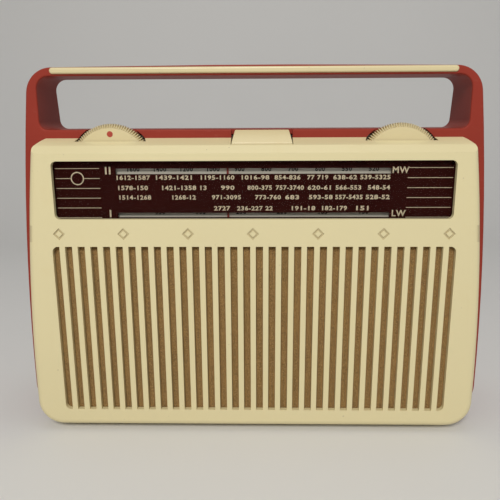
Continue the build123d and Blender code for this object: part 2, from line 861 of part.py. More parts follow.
cord_reach = loose_fit + cord_radius
pulleys = [
    (-idler_x, idler_z, idler_radius + cord_reach),
    (idler_x, idler_z, idler_radius + cord_reach),
    (tuning_x, wheel_z, spool_radius + cord_reach),
]
with BuildPart() as dial_cord:
    with BuildLine(behind(cord_depth)) as cord_line:
        for index, pulley in enumerate(pulleys):
            following = pulleys[(index + 1) % len(pulleys)]
            arrival = belt_side(pulleys[index - 1], pulley)
            leaving = belt_side(pulley, following)
            wrap = (leaving - arrival) % (2 * math.pi)
            ThreePointArc(
                on_pulley(pulley, arrival),
                on_pulley(pulley, arrival + wrap / 2),
                on_pulley(pulley, leaving),
            )
            Line(on_pulley(pulley, leaving), on_pulley(following, leaving))
    with BuildSketch(Plane(origin=cord_line.line @ 0, z_dir=cord_line.line % 0)):
        Circle(cord_radius)
    sweep()
save("dial_cord", dial_cord)

# ---- tuning capacitor -------------------------------------------------------------------------------
mesh_turn = 180 / gear_teeth if pinion_teeth % 2 == 0 else 0
frame_half = 13.5
frame_front = gear_front + gear_thickness + 1.5
frame_depth = 13.0
frame_sheet = 1.2
vane_thickness = 0.5
vane_pitch = 2.0
vane_count = 4
rotor_radius = 11.0
rotor_start = frame_front + frame_sheet + 1.2
spacer_reach = 11.5

with BuildPart() as capacitor_gear:
    with BuildSketch(behind(gear_front)):
        with Locations((capacitor_x, wheel_z)):
            add(gear_outline(gear_teeth, shaft_radius, mesh_turn))
    extrude(amount=-gear_thickness)
save("capacitor_gear", capacitor_gear)

with BuildPart() as capacitor_rotor:
    with BuildSketch(behind(gear_front)):
        with Locations((capacitor_x, wheel_z)):
            Circle(shaft_radius)
    extrude(amount=-(frame_front + frame_depth - gear_front))
    for vane in range(vane_count):
        with BuildSketch(behind(rotor_start + vane * vane_pitch)):
            with Locations((capacitor_x, wheel_z)):
                Circle(rotor_radius)
            with Locations((capacitor_x, wheel_z + rotor_radius)):
                Rectangle(2 * rotor_radius + 1, 2 * rotor_radius, mode=Mode.SUBTRACT)
        extrude(amount=-vane_thickness)
save("capacitor_rotor", capacitor_rotor)

with BuildPart() as capacitor_stator:
    for vane in range(vane_count):
        with BuildSketch(behind(rotor_start + (vane + 0.5) * vane_pitch)):
            with Locations((capacitor_x, wheel_z + spacer_reach / 2 + 0.5)):
                Rectangle(2 * spacer_reach, spacer_reach - 1)
            with Locations((capacitor_x, wheel_z)):
                Circle(shaft_radius + 1, mode=Mode.SUBTRACT)
        extrude(amount=-vane_thickness)
    with BuildSketch(behind(frame_front + frame_sheet)):
        with Locations((capacitor_x, wheel_z + spacer_reach)):
            with GridLocations(2 * spacer_reach - 3, 1, 2, 1):
                Circle(0.9)
    extrude(amount=-(frame_depth - 2 * frame_sheet))
save("capacitor_stator", capacitor_stator)

with BuildPart() as capacitor_frame:
    with BuildSketch(behind(frame_front)):
        with Locations((capacitor_x, wheel_z)):
            Rectangle(2 * frame_half, 2 * frame_half)
    extrude(amount=-frame_depth)
    with BuildSketch(behind(frame_front + frame_sheet)):
        with Locations((capacitor_x, wheel_z + frame_sheet)):
            Rectangle(2 * frame_half + 1, 2 * frame_half)
    extrude(amount=-(frame_depth - 2 * frame_sheet), mode=Mode.SUBTRACT)
    with BuildSketch(behind(frame_front)):
        with Locations((capacitor_x, wheel_z)):
            Circle(shaft_radius + running_fit)
    extrude(amount=-(frame_depth + 1), mode=Mode.SUBTRACT)
    with BuildSketch(behind(plate_back)):
        with Locations((capacitor_x, wheel_z)):
            with GridLocations(2 * spacer_reach, 2 * spacer_reach, 2, 2):
                Circle(1.8)
    extrude(amount=-(frame_front - plate_back))
save("capacitor_frame", capacitor_frame)

# ---- waveband key and switch ------------------------------------------------------------------------

with BuildPart() as band_key:
    with BuildSketch(Plane.YZ.offset(key_x)):
        front_y = -overall_depth / 2
        with BuildLine():
            Polyline(
                (front_y + key_front, key_foot),
                (front_y + key_front, bevel_top + key_nose_rise),
                (front_y + key_front + key_facet_depth, bevel_top + key_facet_rise),
                (front_y + key_top_front, key_top),
                (front_y + key_back, key_top),
                (front_y + key_back, key_foot),
                close=True,
            )
        make_face()
    extrude(amount=key_width / 2, both=True)
    with BuildSketch(behind(key_front - 1)):
        with BuildLine():
            Polyline(
                (key_x - key_width / 2, key_foot),
                (key_x - key_width / 2, bevel_top + key_nose_rise),
                (key_x - key_top_width / 2, key_top + layer_gap),
                (key_x + key_top_width / 2, key_top + layer_gap),
                (key_x + key_width / 2, bevel_top + key_nose_rise),
                (key_x + key_width / 2, key_foot),
                close=True,
            )
        make_face()
    extrude(amount=-key_back, mode=Mode.INTERSECT)
    with BuildSketch(behind(key_back)):
        with Locations((key_x, key_foot + arm_thickness / 2)):
            Rectangle(2 * key_arm_half, arm_thickness)
    extrude(amount=-(slider_front + slider_thickness - key_back))
save("band_key", band_key)

with BuildPart() as band_slider:
    with BuildSketch(behind(slider_front)):
        with Locations((key_x, key_foot - slider_length / 2)):
            Rectangle(2 * slider_half, slider_length)
    extrude(amount=-slider_thickness)
save("band_slider", band_slider)

with BuildPart() as band_switch:
    with BuildSketch(behind(plate_back)):
        with Locations((key_x, switch_top - switch_height / 2)):
            Rectangle(switch_width, switch_height)
    extrude(amount=-switch_depth)
    with BuildSketch(behind(slider_front - loose_fit)):
        with Locations((key_x, (switch_top + key_foot - slider_length - key_travel - 1) / 2)):
            Rectangle(
                2 * (slider_half + loose_fit),
                switch_top - (key_foot - slider_length - key_travel - 1),
            )
    extrude(amount=-(slider_thickness + 2 * loose_fit), mode=Mode.SUBTRACT)
save("band_switch", band_switch)

# ---- chassis plate and its screws -------------------------------------------------------------------
plate_top = cavity_top - 0.6
plate_bottom = rail_z - 2.5
plate_half = upper_post_x + 4.0
screw_head_radius = 2.6
screw_head_height = 1.8
with BuildPart() as chassis_plate:
    with BuildSketch(behind(plate_front)) as plate_outline:
        with Locations((0, (plate_top + plate_bottom) / 2)):
            Rectangle(2 * plate_half, plate_top - plate_bottom)
        fillet(plate_outline.vertices(), radius=4)
        with Locations(*lower_posts, *upper_posts):
            Circle(screw_radius, mode=Mode.SUBTRACT)
        with Locations((volume_x, wheel_z), (tuning_x, wheel_z)):
            Circle(bush_radius, mode=Mode.SUBTRACT)
        with Locations((-idler_x, idler_z), (idler_x, idler_z)):
            Circle(idler_pin_radius, mode=Mode.SUBTRACT)
        with Locations((key_x, plate_top)):
            Rectangle(
                2 * key_arm_half + 2,
                2 * (plate_top - key_foot + key_travel + 0.8),
                mode=Mode.SUBTRACT,
            )
    extrude(amount=-plate_thickness)
save("chassis_plate", chassis_plate)

with BuildPart() as chassis_screws:
    with BuildSketch(behind(plate_front - 5)):
        with Locations(*lower_posts, *upper_posts):
            Circle(screw_radius)
    extrude(amount=-(plate_thickness + 5))
    with BuildSketch(behind(plate_back)):
        with Locations(*lower_posts, *upper_posts):
            Circle(screw_head_radius)
    extrude(amount=-screw_head_height)
    with BuildSketch(behind(plate_back + screw_head_height)):
        with Locations(*lower_posts, *upper_posts):
            Rectangle(4.0, 0.7)
    extrude(amount=0.9, mode=Mode.SUBTRACT)
save("chassis_screws", chassis_screws)

# ---- speaker cloth and baffle board -----------------------------------------------------------------
sheet_width = grille_width + 2 * baffle_lap
sheet_height = slot_top - slot_bottom + 2 * baffle_lap
with BuildPart() as speaker_cloth:
    with BuildSketch(behind(cloth_front)):
        with Locations((0, slot_middle)):
            RectangleRounded(sheet_width, sheet_height, 6)
    extrude(amount=-cloth_thickness)
save("speaker_cloth", speaker_cloth)

speaker_screw_spots = [
    (speaker_x + sx * 29.5, slot_middle + sz * 29.5) for sx in (-1, 1) for sz in (-1, 1)
]
with BuildPart() as baffle_board:
    with BuildSketch(behind(baffle_front)):
        with Locations((0, slot_middle)):
            RectangleRounded(sheet_width, sheet_height, 6)
        with Locations((speaker_x, slot_middle)):
            Circle(cone_radius, mode=Mode.SUBTRACT)
        with Locations(*speaker_screw_spots):
            Circle(screw_radius, mode=Mode.SUBTRACT)
    extrude(amount=-baffle_thickness)
save("baffle_board", baffle_board)

# ---- loudspeaker ------------------------------------------------------------------------------------
speaker_axis = Axis((speaker_x, 0, slot_middle), (0, 1, 0))


def from_face(depth):
    """Y of a depth behind the cream face."""
    return depth - overall_depth / 2


with BuildPart() as speaker_basket:
    with BuildSketch(Plane.XY.offset(slot_middle)):
        with BuildLine():
            Polyline(
                (speaker_x + cone_radius, from_face(speaker_front)),
                (speaker_x + speaker_radius, from_face(speaker_front)),
                (speaker_x + speaker_radius, from_face(speaker_front + sheet_metal)),
                (speaker_x + cone_radius + 1.5, from_face(speaker_front + sheet_metal)),
                (speaker_x + magnet_radius, from_face(magnet_front)),
                (speaker_x + coil_radius + 2, from_face(magnet_front)),
                (speaker_x + coil_radius + 2, from_face(basket_back)),
                (speaker_x + magnet_radius - 0.6, from_face(basket_back)),
                (speaker_x + cone_radius, from_face(speaker_front + sheet_metal)),
                close=True,
            )
        make_face()
    revolve(axis=speaker_axis)
    with BuildSketch(behind(speaker_front)):
        with Locations(*speaker_screw_spots):
            Circle(screw_radius)
    extrude(amount=-sheet_metal, mode=Mode.SUBTRACT)
    with BuildSketch(behind(speaker_front + sheet_metal + 3)):
        with Locations((speaker_x, slot_middle)):
            with PolarLocations(26, 4, start_angle=0):
                SlotOverall(13, 11, rotation=90)
    extrude(amount=-basket_depth, mode=Mode.SUBTRACT)
save("speaker_basket", speaker_basket)

paper = 0.5
with BuildPart() as speaker_cone:
    with BuildSketch(Plane.XY.offset(slot_middle)):
        with BuildLine():
            Polyline(
                (speaker_x + cone_radius - 0.5, from_face(speaker_front + 0.6)),
                (speaker_x + cone_radius - 0.5, from_face(speaker_front + 0.6 + paper)),
                (speaker_x + cone_radius - 3.5, from_face(speaker_front + 1.2 + paper)),
                (speaker_x + coil_radius, from_face(basket_back - 5 + paper)),
                (speaker_x + coil_radius, from_face(basket_back - 5)),
                (speaker_x + cone_radius - 3.5, from_face(speaker_front + 1.2)),
                close=True,
            )
        make_face()
    revolve(axis=speaker_axis)
save("speaker_cone", speaker_cone)

with BuildPart() as voice_coil:
    with BuildSketch(behind(basket_back - 5)):
        with Locations((speaker_x, slot_middle)):
            Circle(coil_radius)
            Circle(coil_radius - 0.5, mode=Mode.SUBTRACT)
    extrude(amount=-(5 + sheet_metal + 3))
save("voice_coil", voice_coil)

dome_height = 3.0
dome_radius = (coil_radius ** 2 + dome_height ** 2) / (2 * dome_height)
with BuildPart() as dust_cap:
    with BuildSketch(Plane.XY.offset(slot_middle)):
        with BuildLine():
            Line((speaker_x, from_face(basket_back - 5 - dome_height)), (speaker_x, from_face(basket_back - 5)))
            Line((speaker_x, from_face(basket_back - 5)), (speaker_x + coil_radius, from_face(basket_back - 5)))
            RadiusArc(
                (speaker_x + coil_radius, from_face(basket_back - 5)),
                (speaker_x, from_face(basket_back - 5 - dome_height)),
                dome_radius,
            )
        make_face()
    revolve(axis=speaker_axis)
save("dust_cap", dust_cap)

with BuildPart() as speaker_magnet:
    with BuildSketch(behind(magnet_front)):
        with Locations((speaker_x, slot_middle)):
            Circle(magnet_radius)
    extrude(amount=-magnet_length)
    with BuildSketch(behind(magnet_front)):
        with Locations((speaker_x, slot_middle)):
            Circle(coil_radius + 0.7)
            Circle(coil_radius - 1.2, mode=Mode.SUBTRACT)
    extrude(amount=-(magnet_length - 4), mode=Mode.SUBTRACT)
save("speaker_magnet", speaker_magnet)

with BuildPart() as speaker_screws:
    with BuildSketch(behind(baffle_front)):
        with Locations(*speaker_screw_spots):
            Circle(screw_radius)
    extrude(amount=-(baffle_thickness + sheet_metal))
    with BuildSketch(behind(speaker_front + sheet_metal)):
        with Locations(*speaker_screw_spots):
            Circle(screw_head_radius)
    extrude(amount=-1.6)
save("speaker_screws", speaker_screws)

# ---- batteries in their tray ------------------------------------------------------------------------
tray_inner_width = battery_width + 2 * tray_gap
tray_left = tray_right - tray_inner_width - 2 * tray_wall
tray_mid_x = (tray_left + tray_right) / 2
tray_mid_z = (tray_floor + tray_top) / 2
tray_front = baffle_back + layer_gap
tray_depth = back_depth(tray_top) - case_wall - 3 - tray_front
battery_z = tray_floor + tray_wall + tray_gap
with BuildPart() as battery_tray:
    with BuildSketch(behind(tray_front)):
        with Locations((tray_mid_x, tray_mid_z)):
            Rectangle(tray_right - tray_left, tray_top - tray_floor)
    extrude(amount=-tray_depth)
    with BuildSketch(behind(tray_front + 0.8)):
        with Locations((tray_mid_x, tray_mid_z)):
            Rectangle(tray_inner_width, battery_height + 2 * tray_gap)
    extrude(amount=-tray_depth, mode=Mode.SUBTRACT)
save("battery_tray", battery_tray)

battery_front = tray_front + 0.8 + layer_gap
with BuildPart() as batteries:
    for cell in range(2):
        with BuildSketch(behind(battery_front + cell * (battery_thickness + layer_gap))):
            with Locations((tray_mid_x, battery_z + battery_height / 2 - 1)):
                RectangleRounded(battery_width, battery_height - 2, 2)
        extrude(amount=-battery_thickness)
save("batteries", batteries)

with BuildPart() as battery_terminals:
    for cell in range(2):
        middle = battery_front + cell * (battery_thickness + layer_gap) + battery_thickness / 2
        with BuildSketch(Plane.XY.offset(battery_z + battery_height - 2)):
            with Locations(
                (tray_mid_x - 17, from_face(middle)),
                (tray_mid_x + 17, from_face(middle)),
            ):
                Rectangle(22, 7)
        extrude(amount=0.8)
save("battery_terminals", battery_terminals)

with BuildPart() as battery_contacts:
    with BuildSketch(Plane.XY.offset(battery_z + battery_height - 1.2)):
        with Locations(
            (tray_mid_x - 17, from_face(battery_front + battery_thickness)),
            (tray_mid_x + 17, from_face(battery_front + battery_thickness)),
        ):
            Rectangle(5, 30)
    extrude(amount=0.7)
save("battery_contacts", battery_contacts)

# ---- back cover and its coin screw ------------------------------------------------------------------
door_inner_width = door_width - 2 * door_gap
door_inner_height = door_height - 2 * door_gap
with BuildPart() as back_cover:
    with BuildSketch(back_plane):
        with Locations((0, door_centre)):
            RectangleRounded(door_inner_width, door_inner_height, cover_radius)
    extrude(amount=-(case_wall - 0.3))
    fillet(back_cover.edges().filter_by(Axis.X).sort_by(Axis.Z)[:2], radius=door_edge)
    with BuildSketch(back_plane.offset(-(case_wall - 0.3))):
        with Locations((0, door_centre - door_inner_height / 2 + 2.5)):
            with GridLocations(110, 1, 2, 1):
                Rectangle(12, 5)
    extrude(amount=-2.3)
    with BuildSketch(back_plane.offset(-(case_wall + 0.3))):
        with Locations((0, door_centre - door_inner_height / 2 - door_lip / 2 + 0.4)):
            with GridLocations(110, 1, 2, 1):
                Rectangle(12, door_lip + 0.8)
    extrude(amount=-1.7)
    with BuildSketch(back_plane):
        with Locations((0, screw_spot)):
            Circle(coin_screw_radius + running_fit)
    extrude(amount=-1.2, mode=Mode.SUBTRACT)
    with BuildSketch(back_plane):
        with Locations((0, screw_spot)):
            Circle(screw_radius + running_fit)
    extrude(amount=-case_wall, mode=Mode.SUBTRACT)
    with BuildSketch(back_plane):
        with Locations((0, door_centre)):
            with GridLocations(1, 4.2, 1, 6):
                SlotOverall(90, 1.6)
    extrude(amount=-0.8, mode=Mode.SUBTRACT)
save("back_cover", back_cover)

with BuildPart() as cover_screw:
    with BuildSketch(back_plane.offset(-0.1)):
        with Locations((0, screw_spot)):
            Circle(coin_screw_radius)
    extrude(amount=-1.1)
    with BuildSketch(back_plane.offset(-1.1)):
        with Locations((0, screw_spot)):
            Circle(screw_radius)
    extrude(amount=-4.0)
    with BuildSketch(back_plane.offset(-0.1)):
        with Locations((0, screw_spot)):
            Rectangle(6.4, 1.3)
    extrude(amount=-0.7, mode=Mode.SUBTRACT)
save("cover_screw", cover_screw)

# ---- circuit board and what stands on it ------------------------------------------------------------
board_mid_x = (board_left + board_right) / 2
board_mid_z = (board_bottom + board_top) / 2
standoff_x = (board_left + 7, board_right - 8)
standoff_z = (plate_bottom + 4, board_top - 5)
with BuildPart() as circuit_board:
    with BuildSketch(behind(board_depth)):
        with Locations((board_mid_x, board_mid_z)):
            Rectangle(board_right - board_left, board_top - board_bottom)
        with Locations(*[(x, z) for x in standoff_x for z in standoff_z]):
            Circle(screw_radius, mode=Mode.SUBTRACT)
    extrude(amount=-board_thickness)
save("circuit_board", circuit_board)

with BuildPart() as board_standoffs:
    with BuildSketch(behind(plate_back)):
        with Locations(*[(x, z) for x in standoff_x for z in standoff_z]):
            RegularPolygon(2.8, 6)
    extrude(amount=-(board_depth - plate_back))
save("board_standoffs", board_standoffs)

with BuildPart() as board_screws:
    with BuildSketch(behind(board_depth)):
        with Locations(*[(x, z) for x in standoff_x for z in standoff_z]):
            Circle(screw_radius)
    extrude(amount=-board_thickness)
    with BuildSketch(behind(board_depth + board_thickness)):
        with Locations(*[(x, z) for x in standoff_x for z in standoff_z]):
            Circle(screw_head_radius)
    extrude(amount=-1.6)
save("board_screws", board_screws)

coil_row = board_bottom + 9
with BuildPart() as coil_cans:
    with BuildSketch(behind(board_depth)):
        with Locations((-8, coil_row)):
            with GridLocations(17, 1, 4, 1):
                RectangleRounded(9, 9, 1)
    extrude(amount=13)
save("coil_cans", coil_cans)

with BuildPart() as transistors:
    with BuildSketch(behind(board_depth)):
        with Locations((-20, board_bottom + 38)):
            with GridLocations(11, 1, 5, 1):
                Circle(3.0)
    extrude(amount=8)
    fillet(transistors.faces().sort_by(Axis.Y)[:5].edges(), radius=1.2)
save("transistors", transistors)

with BuildPart() as driver_transformer:
    with BuildSketch(behind(board_depth)):
        with Locations((board_left + 12, coil_row)):
            Rectangle(16, 13)
    extrude(amount=14)
    with BuildSketch(behind(board_depth - 3)):
        with Locations((board_left + 12, coil_row)):
            Rectangle(11, 17)
    extrude(amount=8)
save("driver_transformer", driver_transformer)

with BuildPart() as output_transformer:
    with BuildSketch(behind(board_depth)):
        with Locations((board_left + 36, coil_row)):
            Rectangle(20, 14)
    extrude(amount=16)
    with BuildSketch(behind(board_depth - 3)):
        with Locations((board_left + 36, coil_row)):
            Rectangle(14, 18)
    extrude(amount=10)
save("output_transformer", output_transformer)

can_radius = 4.0
with BuildPart() as electrolytics:
    with BuildSketch(Plane.YZ.offset(board_left + 16)):
        with Locations((from_face(board_depth - can_radius), coil_row + 15)):
            Circle(can_radius)
    extrude(amount=17)
    with BuildSketch(Plane.YZ.offset(board_left + 37)):
        with Locations((from_face(board_depth - can_radius), coil_row + 15)):
            Circle(can_radius)
    extrude(amount=17)
    with BuildSketch(Plane.YZ.offset(board_left + 58)):
        with Locations((from_face(board_depth - can_radius), coil_row + 15)):
            Circle(can_radius)
    extrude(amount=17)
save("electrolytics", electrolytics)

with BuildPart() as resistors:
    with BuildSketch(Plane.XY.offset(board_bottom + 26)):
        with Locations((0, from_face(board_depth - 1.3))):
            with GridLocations(5.5, 1, 7, 1):
                Circle(1.2)
    extrude(amount=7)
save("resistors", resistors)

with BuildPart() as disc_capacitors:
    with BuildSketch(Plane.XY.offset(board_bottom + 20)):
        with Locations((0, from_face(board_depth - 3.5))):
            with GridLocations(9, 1, 5, 1):
                Rectangle(1.8, 7)
    extrude(amount=4.5)
save("disc_capacitors", disc_capacitors)

# ---- ferrite rod aerial -----------------------------------------------------------------------------
with BuildPart() as ferrite_rod:
    with BuildSketch(Plane.YZ.offset(rod_left)):
        with Locations((from_face(rod_depth), rod_z)):
            Circle(rod_radius)
    extrude(amount=rod_right - rod_left)
save("ferrite_rod", ferrite_rod)

coil_spans = [(-50, 18), (-12, 12)]
with BuildPart() as aerial_coils:
    for start, length in coil_spans:
        with BuildSketch(Plane.YZ.offset(start)):
            with Locations((from_face(rod_depth), rod_z)):
                Circle(rod_radius + 1.6)
                Circle(rod_radius, mode=Mode.SUBTRACT)
        extrude(amount=length)
save("aerial_coils", aerial_coils)

clamp_spots = (-26, 12)
clamp_length = 5.0
with BuildPart() as rod_clamps:
    for spot in clamp_spots:
        with BuildSketch(Plane.YZ.offset(spot)):
            with Locations((from_face(rod_depth), rod_z)):
                Circle(rod_radius + 1.8)
            with Locations((from_face((plate_back + rod_depth) / 2), rod_z)):
                Rectangle(rod_depth - plate_back, 4)
            with Locations((from_face(rod_depth), rod_z)):
                Circle(rod_radius, mode=Mode.SUBTRACT)
        extrude(amount=clamp_length)
save("rod_clamps", rod_clamps)
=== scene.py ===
import json
import math

import bmesh
import bpy
from mathutils import Matrix, Vector


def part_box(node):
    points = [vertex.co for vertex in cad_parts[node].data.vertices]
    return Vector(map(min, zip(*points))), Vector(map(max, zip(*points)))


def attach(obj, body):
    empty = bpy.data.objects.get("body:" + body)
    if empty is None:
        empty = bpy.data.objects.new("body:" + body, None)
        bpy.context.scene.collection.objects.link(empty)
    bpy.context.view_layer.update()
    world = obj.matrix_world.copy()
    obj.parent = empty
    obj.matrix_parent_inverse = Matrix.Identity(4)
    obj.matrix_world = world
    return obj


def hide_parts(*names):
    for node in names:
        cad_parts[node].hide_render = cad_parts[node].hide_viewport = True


bl_info = {
    "name": "Portable radio builder",
    "version": (1, 0, 0),
    "blender": (4, 5, 0),
    "location": "View3D > Sidebar > Radio",
    "description": "Shells, dial, wheels, cloth and finishes of a portable radio round its frame",
    "category": "Object",
}

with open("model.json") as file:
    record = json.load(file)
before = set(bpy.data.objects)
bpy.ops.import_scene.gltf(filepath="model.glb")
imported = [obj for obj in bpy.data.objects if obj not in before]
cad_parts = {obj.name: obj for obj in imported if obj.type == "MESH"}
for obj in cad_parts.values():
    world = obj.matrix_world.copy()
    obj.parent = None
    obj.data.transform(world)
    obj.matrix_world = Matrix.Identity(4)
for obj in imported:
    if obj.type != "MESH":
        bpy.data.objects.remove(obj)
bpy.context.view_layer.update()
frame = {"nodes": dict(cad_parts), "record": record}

MM = 0.001
NODES = frame["nodes"]

# Places that the frame gives, at rest
PANEL_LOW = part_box("front_panel")[0]
GLASS_LOW, GLASS_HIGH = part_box("dial_glass")
SCALE_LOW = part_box("scale_plate")[0]
NUMBERS_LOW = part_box("number_strip")[0]
CLOTH_LOW, CLOTH_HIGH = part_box("speaker_cloth")

# The glass and the scale reach this far past the window in the cream front
GLASS_LAP = 1.5 * MM
WINDOW_BOTTOM = GLASS_LOW.z + GLASS_LAP
WINDOW_TOP = GLASS_HIGH.z - GLASS_LAP
WINDOW_HALF = GLASS_HIGH.x - GLASS_LAP

# The engraved row's middle line is this far below the window, and its painted shade reaches this far
# from it
ENGRAVED_DROP = 6.95 * MM
ENGRAVED_REACH = 4 * MM

# The number strip's figures stand on a face this far behind its front edge
NUMBER_SETBACK = 1.5 * MM

# The wheels' bevelled edge: how far its face is drawn in, and how thick the bevel is
WHEEL_BEVEL_IN = 2.0 * MM
WHEEL_BEVEL_DEEP = 1.6 * MM
WHEEL_BORE = 4.0 * MM

# A valley is cut deeper by this share of the bevel that its tooth leaves
VALLEY_SHARE = 0.12


# ---- settings a user would change ----------------------------------------------------------------
class RadioColours(bpy.types.PropertyGroup):
    case_red: bpy.props.FloatVectorProperty(
        name="Case red", description="Moulded case and handle", subtype="COLOR", size=3,
        default=(0.285, 0.040, 0.026), min=0, max=1,
    )
    front_cream: bpy.props.FloatVectorProperty(
        name="Front cream", description="Moulded front panel", subtype="COLOR", size=3,
        default=(0.740, 0.655, 0.385), min=0, max=1,
    )
    trim_cream: bpy.props.FloatVectorProperty(
        name="Trim cream", description="Wheels, key and handle strip", subtype="COLOR", size=3,
        default=(0.690, 0.590, 0.340), min=0, max=1,
    )
    dial_maroon: bpy.props.FloatVectorProperty(
        name="Dial maroon", description="Ground of the dial", subtype="COLOR", size=3,
        default=(0.026, 0.0042, 0.0030), min=0, max=1,
    )
    dial_ink: bpy.props.FloatVectorProperty(
        name="Dial ink", description="Printing on the dial", subtype="COLOR", size=3,
        default=(0.700, 0.590, 0.400), min=0, max=1,
    )
    cloth_brown: bpy.props.FloatVectorProperty(
        name="Cloth brown", description="Loudspeaker cloth", subtype="COLOR", size=3,
        default=(0.270, 0.145, 0.036), min=0, max=1,
    )


class RadioSizes(bpy.types.PropertyGroup):
    case_edge: bpy.props.FloatProperty(
        name="Case edge", description="Rounding of the red case's edges", default=0.55 * MM,
        min=0, unit="LENGTH", subtype="DISTANCE",
    )
    front_edge: bpy.props.FloatProperty(
        name="Front edge", description="Rounding of the cream front's edges", default=0.35 * MM,
        min=0, unit="LENGTH", subtype="DISTANCE",
    )
    wheel_teeth: bpy.props.IntProperty(
        name="Wheel teeth", description="Serrations round each thumbwheel", default=104, min=12,
    )
    tooth_depth: bpy.props.FloatProperty(
        name="Tooth depth", description="Depth of a serration", default=1.15 * MM,
        min=0, unit="LENGTH", subtype="DISTANCE",
    )
    thread_pitch: bpy.props.FloatProperty(
        name="Thread pitch", description="Spacing of the cloth's threads", default=1.3 * MM,
        min=0, unit="LENGTH", subtype="DISTANCE",
    )
    print_height: bpy.props.FloatProperty(
        name="Print height", description="Height of the figures on the dial", default=2.15 * MM,
        min=0, unit="LENGTH", subtype="DISTANCE",
    )
    print_thickness: bpy.props.FloatProperty(
        name="Print thickness", description="How far the printing stands off its ground",
        default=0.04 * MM, min=0, unit="LENGTH", subtype="DISTANCE",
    )


# ---- shader maths --------------------------------------------------------------------------------
class Value:
    """A number that a material works out; arithmetic on it adds Math nodes."""

    def __init__(self, finish, socket):
        self.finish = finish
        self.socket = socket

    def _math(self, operation, first, second=None):
        inputs = {0: first} if second is None else {0: first, 1: second}
        node = self.finish.node("ShaderNodeMath", {"operation": operation}, inputs)
        return Value(self.finish, node.outputs[0])

    def __add__(self, other):
        return self._math("ADD", self, other)

    def __radd__(self, other):
        return self._math("ADD", other, self)

    def __sub__(self, other):
        return self._math("SUBTRACT", self, other)

    def __rsub__(self, other):
        return self._math("SUBTRACT", other, self)

    def __mul__(self, other):
        return self._math("MULTIPLY", self, other)

    def __rmul__(self, other):
        return self._math("MULTIPLY", other, self)

    def above(self, level):
        """1 where the value is over a level, otherwise 0."""
        return self._math("GREATER_THAN", self, level)

    def sine(self):
        """The sine of the value."""
        return self._math("SINE", self)

    def size(self):
        """The value without its sign."""
        return self._math("ABSOLUTE", self)


class Finish:
    """One procedural material."""

    def __init__(self, name, roughness, base, **constants):
        self.material = bpy.data.materials.new(name)
        self.material.use_nodes = True
        self.tree = self.material.node_tree
        self.shader = self.tree.nodes["Principled BSDF"]
        self.shader.inputs["Roughness"].default_value = roughness
        self.shader.inputs["Base Color"].default_value = (*base, 1)
        self.material.diffuse_color = (*base, 1)
        for socket, value in constants.items():
            self.shader.inputs[socket.replace("_", " ")].default_value = value
        self.place = self.node("ShaderNodeTexCoord").outputs["Object"]

    def node(self, kind, settings=None, inputs=None):
        """Add a node, set what it is first, then its values or links."""
        node = self.tree.nodes.new(kind)
        for key, value in (settings or {}).items():
            setattr(node, key, value)
        for key, value in (inputs or {}).items():
            socket = node.inputs[key]
            if isinstance(value, Value):
                self.tree.links.new(value.socket, socket)
            elif isinstance(value, bpy.types.NodeSocket):
                self.tree.links.new(value, socket)
            elif socket.type == "RGBA":
                socket.default_value = (*value[:3], 1)
            else:
                socket.default_value = value
        return node

    def stretched(self, scale):
        """The object's own coordinates, scaled by axis."""
        node = self.node("ShaderNodeMapping", inputs={"Vector": self.place, "Scale": scale})
        return node.outputs[0]

    def noise(self, scale, detail=3.0, roughness=0.55, place=None):
        """Noise from 0 to 1; scale is in repeats to the metre."""
        node = self.node(
            "ShaderNodeTexNoise",
            inputs={
                "Vector": place or self.place, "Scale": scale,
                "Detail": detail, "Roughness": roughness,
            },
        )
        return Value(self, node.outputs[0])

    def ramp(self, value, low, high):
        """The value stretched so that low gives 0 and high gives 1."""
        node = self.node(
            "ShaderNodeMapRange",
            {"clamp": True},
            {"Value": value, "From Min": low, "From Max": high},
        )
        return Value(self, node.outputs[0])

    def axis(self, index):
        """One of the object's coordinates, in metres."""
        node = self.node("ShaderNodeSeparateXYZ", inputs={0: self.place})
        return Value(self, node.outputs[index])

    def mix(self, factor, first, second):
        """A colour between two others."""
        node = self.node(
            "ShaderNodeMix",
            {"data_type": "RGBA"},
            {0: factor, 6: first, 7: second},
        )
        return node.outputs[2]

    def colour(self, socket):
        """Feed the base colour."""
        self.tree.links.new(socket, self.shader.inputs["Base Color"])
        return self

    def rough(self, value):
        """Feed the roughness."""
        self.tree.links.new(value.socket, self.shader.inputs["Roughness"])
        return self

    def bump(self, height, strength, distance):
        """Feed the normal from a height."""
        node = self.node(
            "ShaderNodeBump",
            inputs={"Height": height, "Strength": strength, "Distance": distance},
        )
        self.tree.links.new(node.outputs[0], self.shader.inputs["Normal"])
        return self


def shade(colour, factor):
    """A colour made darker or lighter, kept within 1."""
    return tuple(min(channel * factor, 1.0) for channel in colour)


# ---- finishes ------------------------------------------------------------------------------------
def moulded_red(base):
    """Brick-red polystyrene: slight mottling, rubbed paler high spots, fine moulding skin."""
    finish = Finish("moulded_red", 0.45, base, Specular_IOR_Level=0.08)
    cloud = finish.noise(22, 4)
    grain = finish.noise(900, 3)
    scuff = finish.ramp(finish.noise(160, 6, 0.7, finish.stretched((1, 1, 4))), 0.60, 0.78)
    body = finish.mix(cloud, shade(base, 0.86), shade(base, 1.13))
    body = finish.mix(scuff * 0.22, body, (0.46, 0.16, 0.12))
    finish.colour(body)
    finish.rough(0.36 + cloud * 0.10 + grain * 0.06 + scuff * 0.12)
    finish.bump(grain * 0.7 + cloud * 0.8, 0.10, 0.15 * MM)
    return finish.material


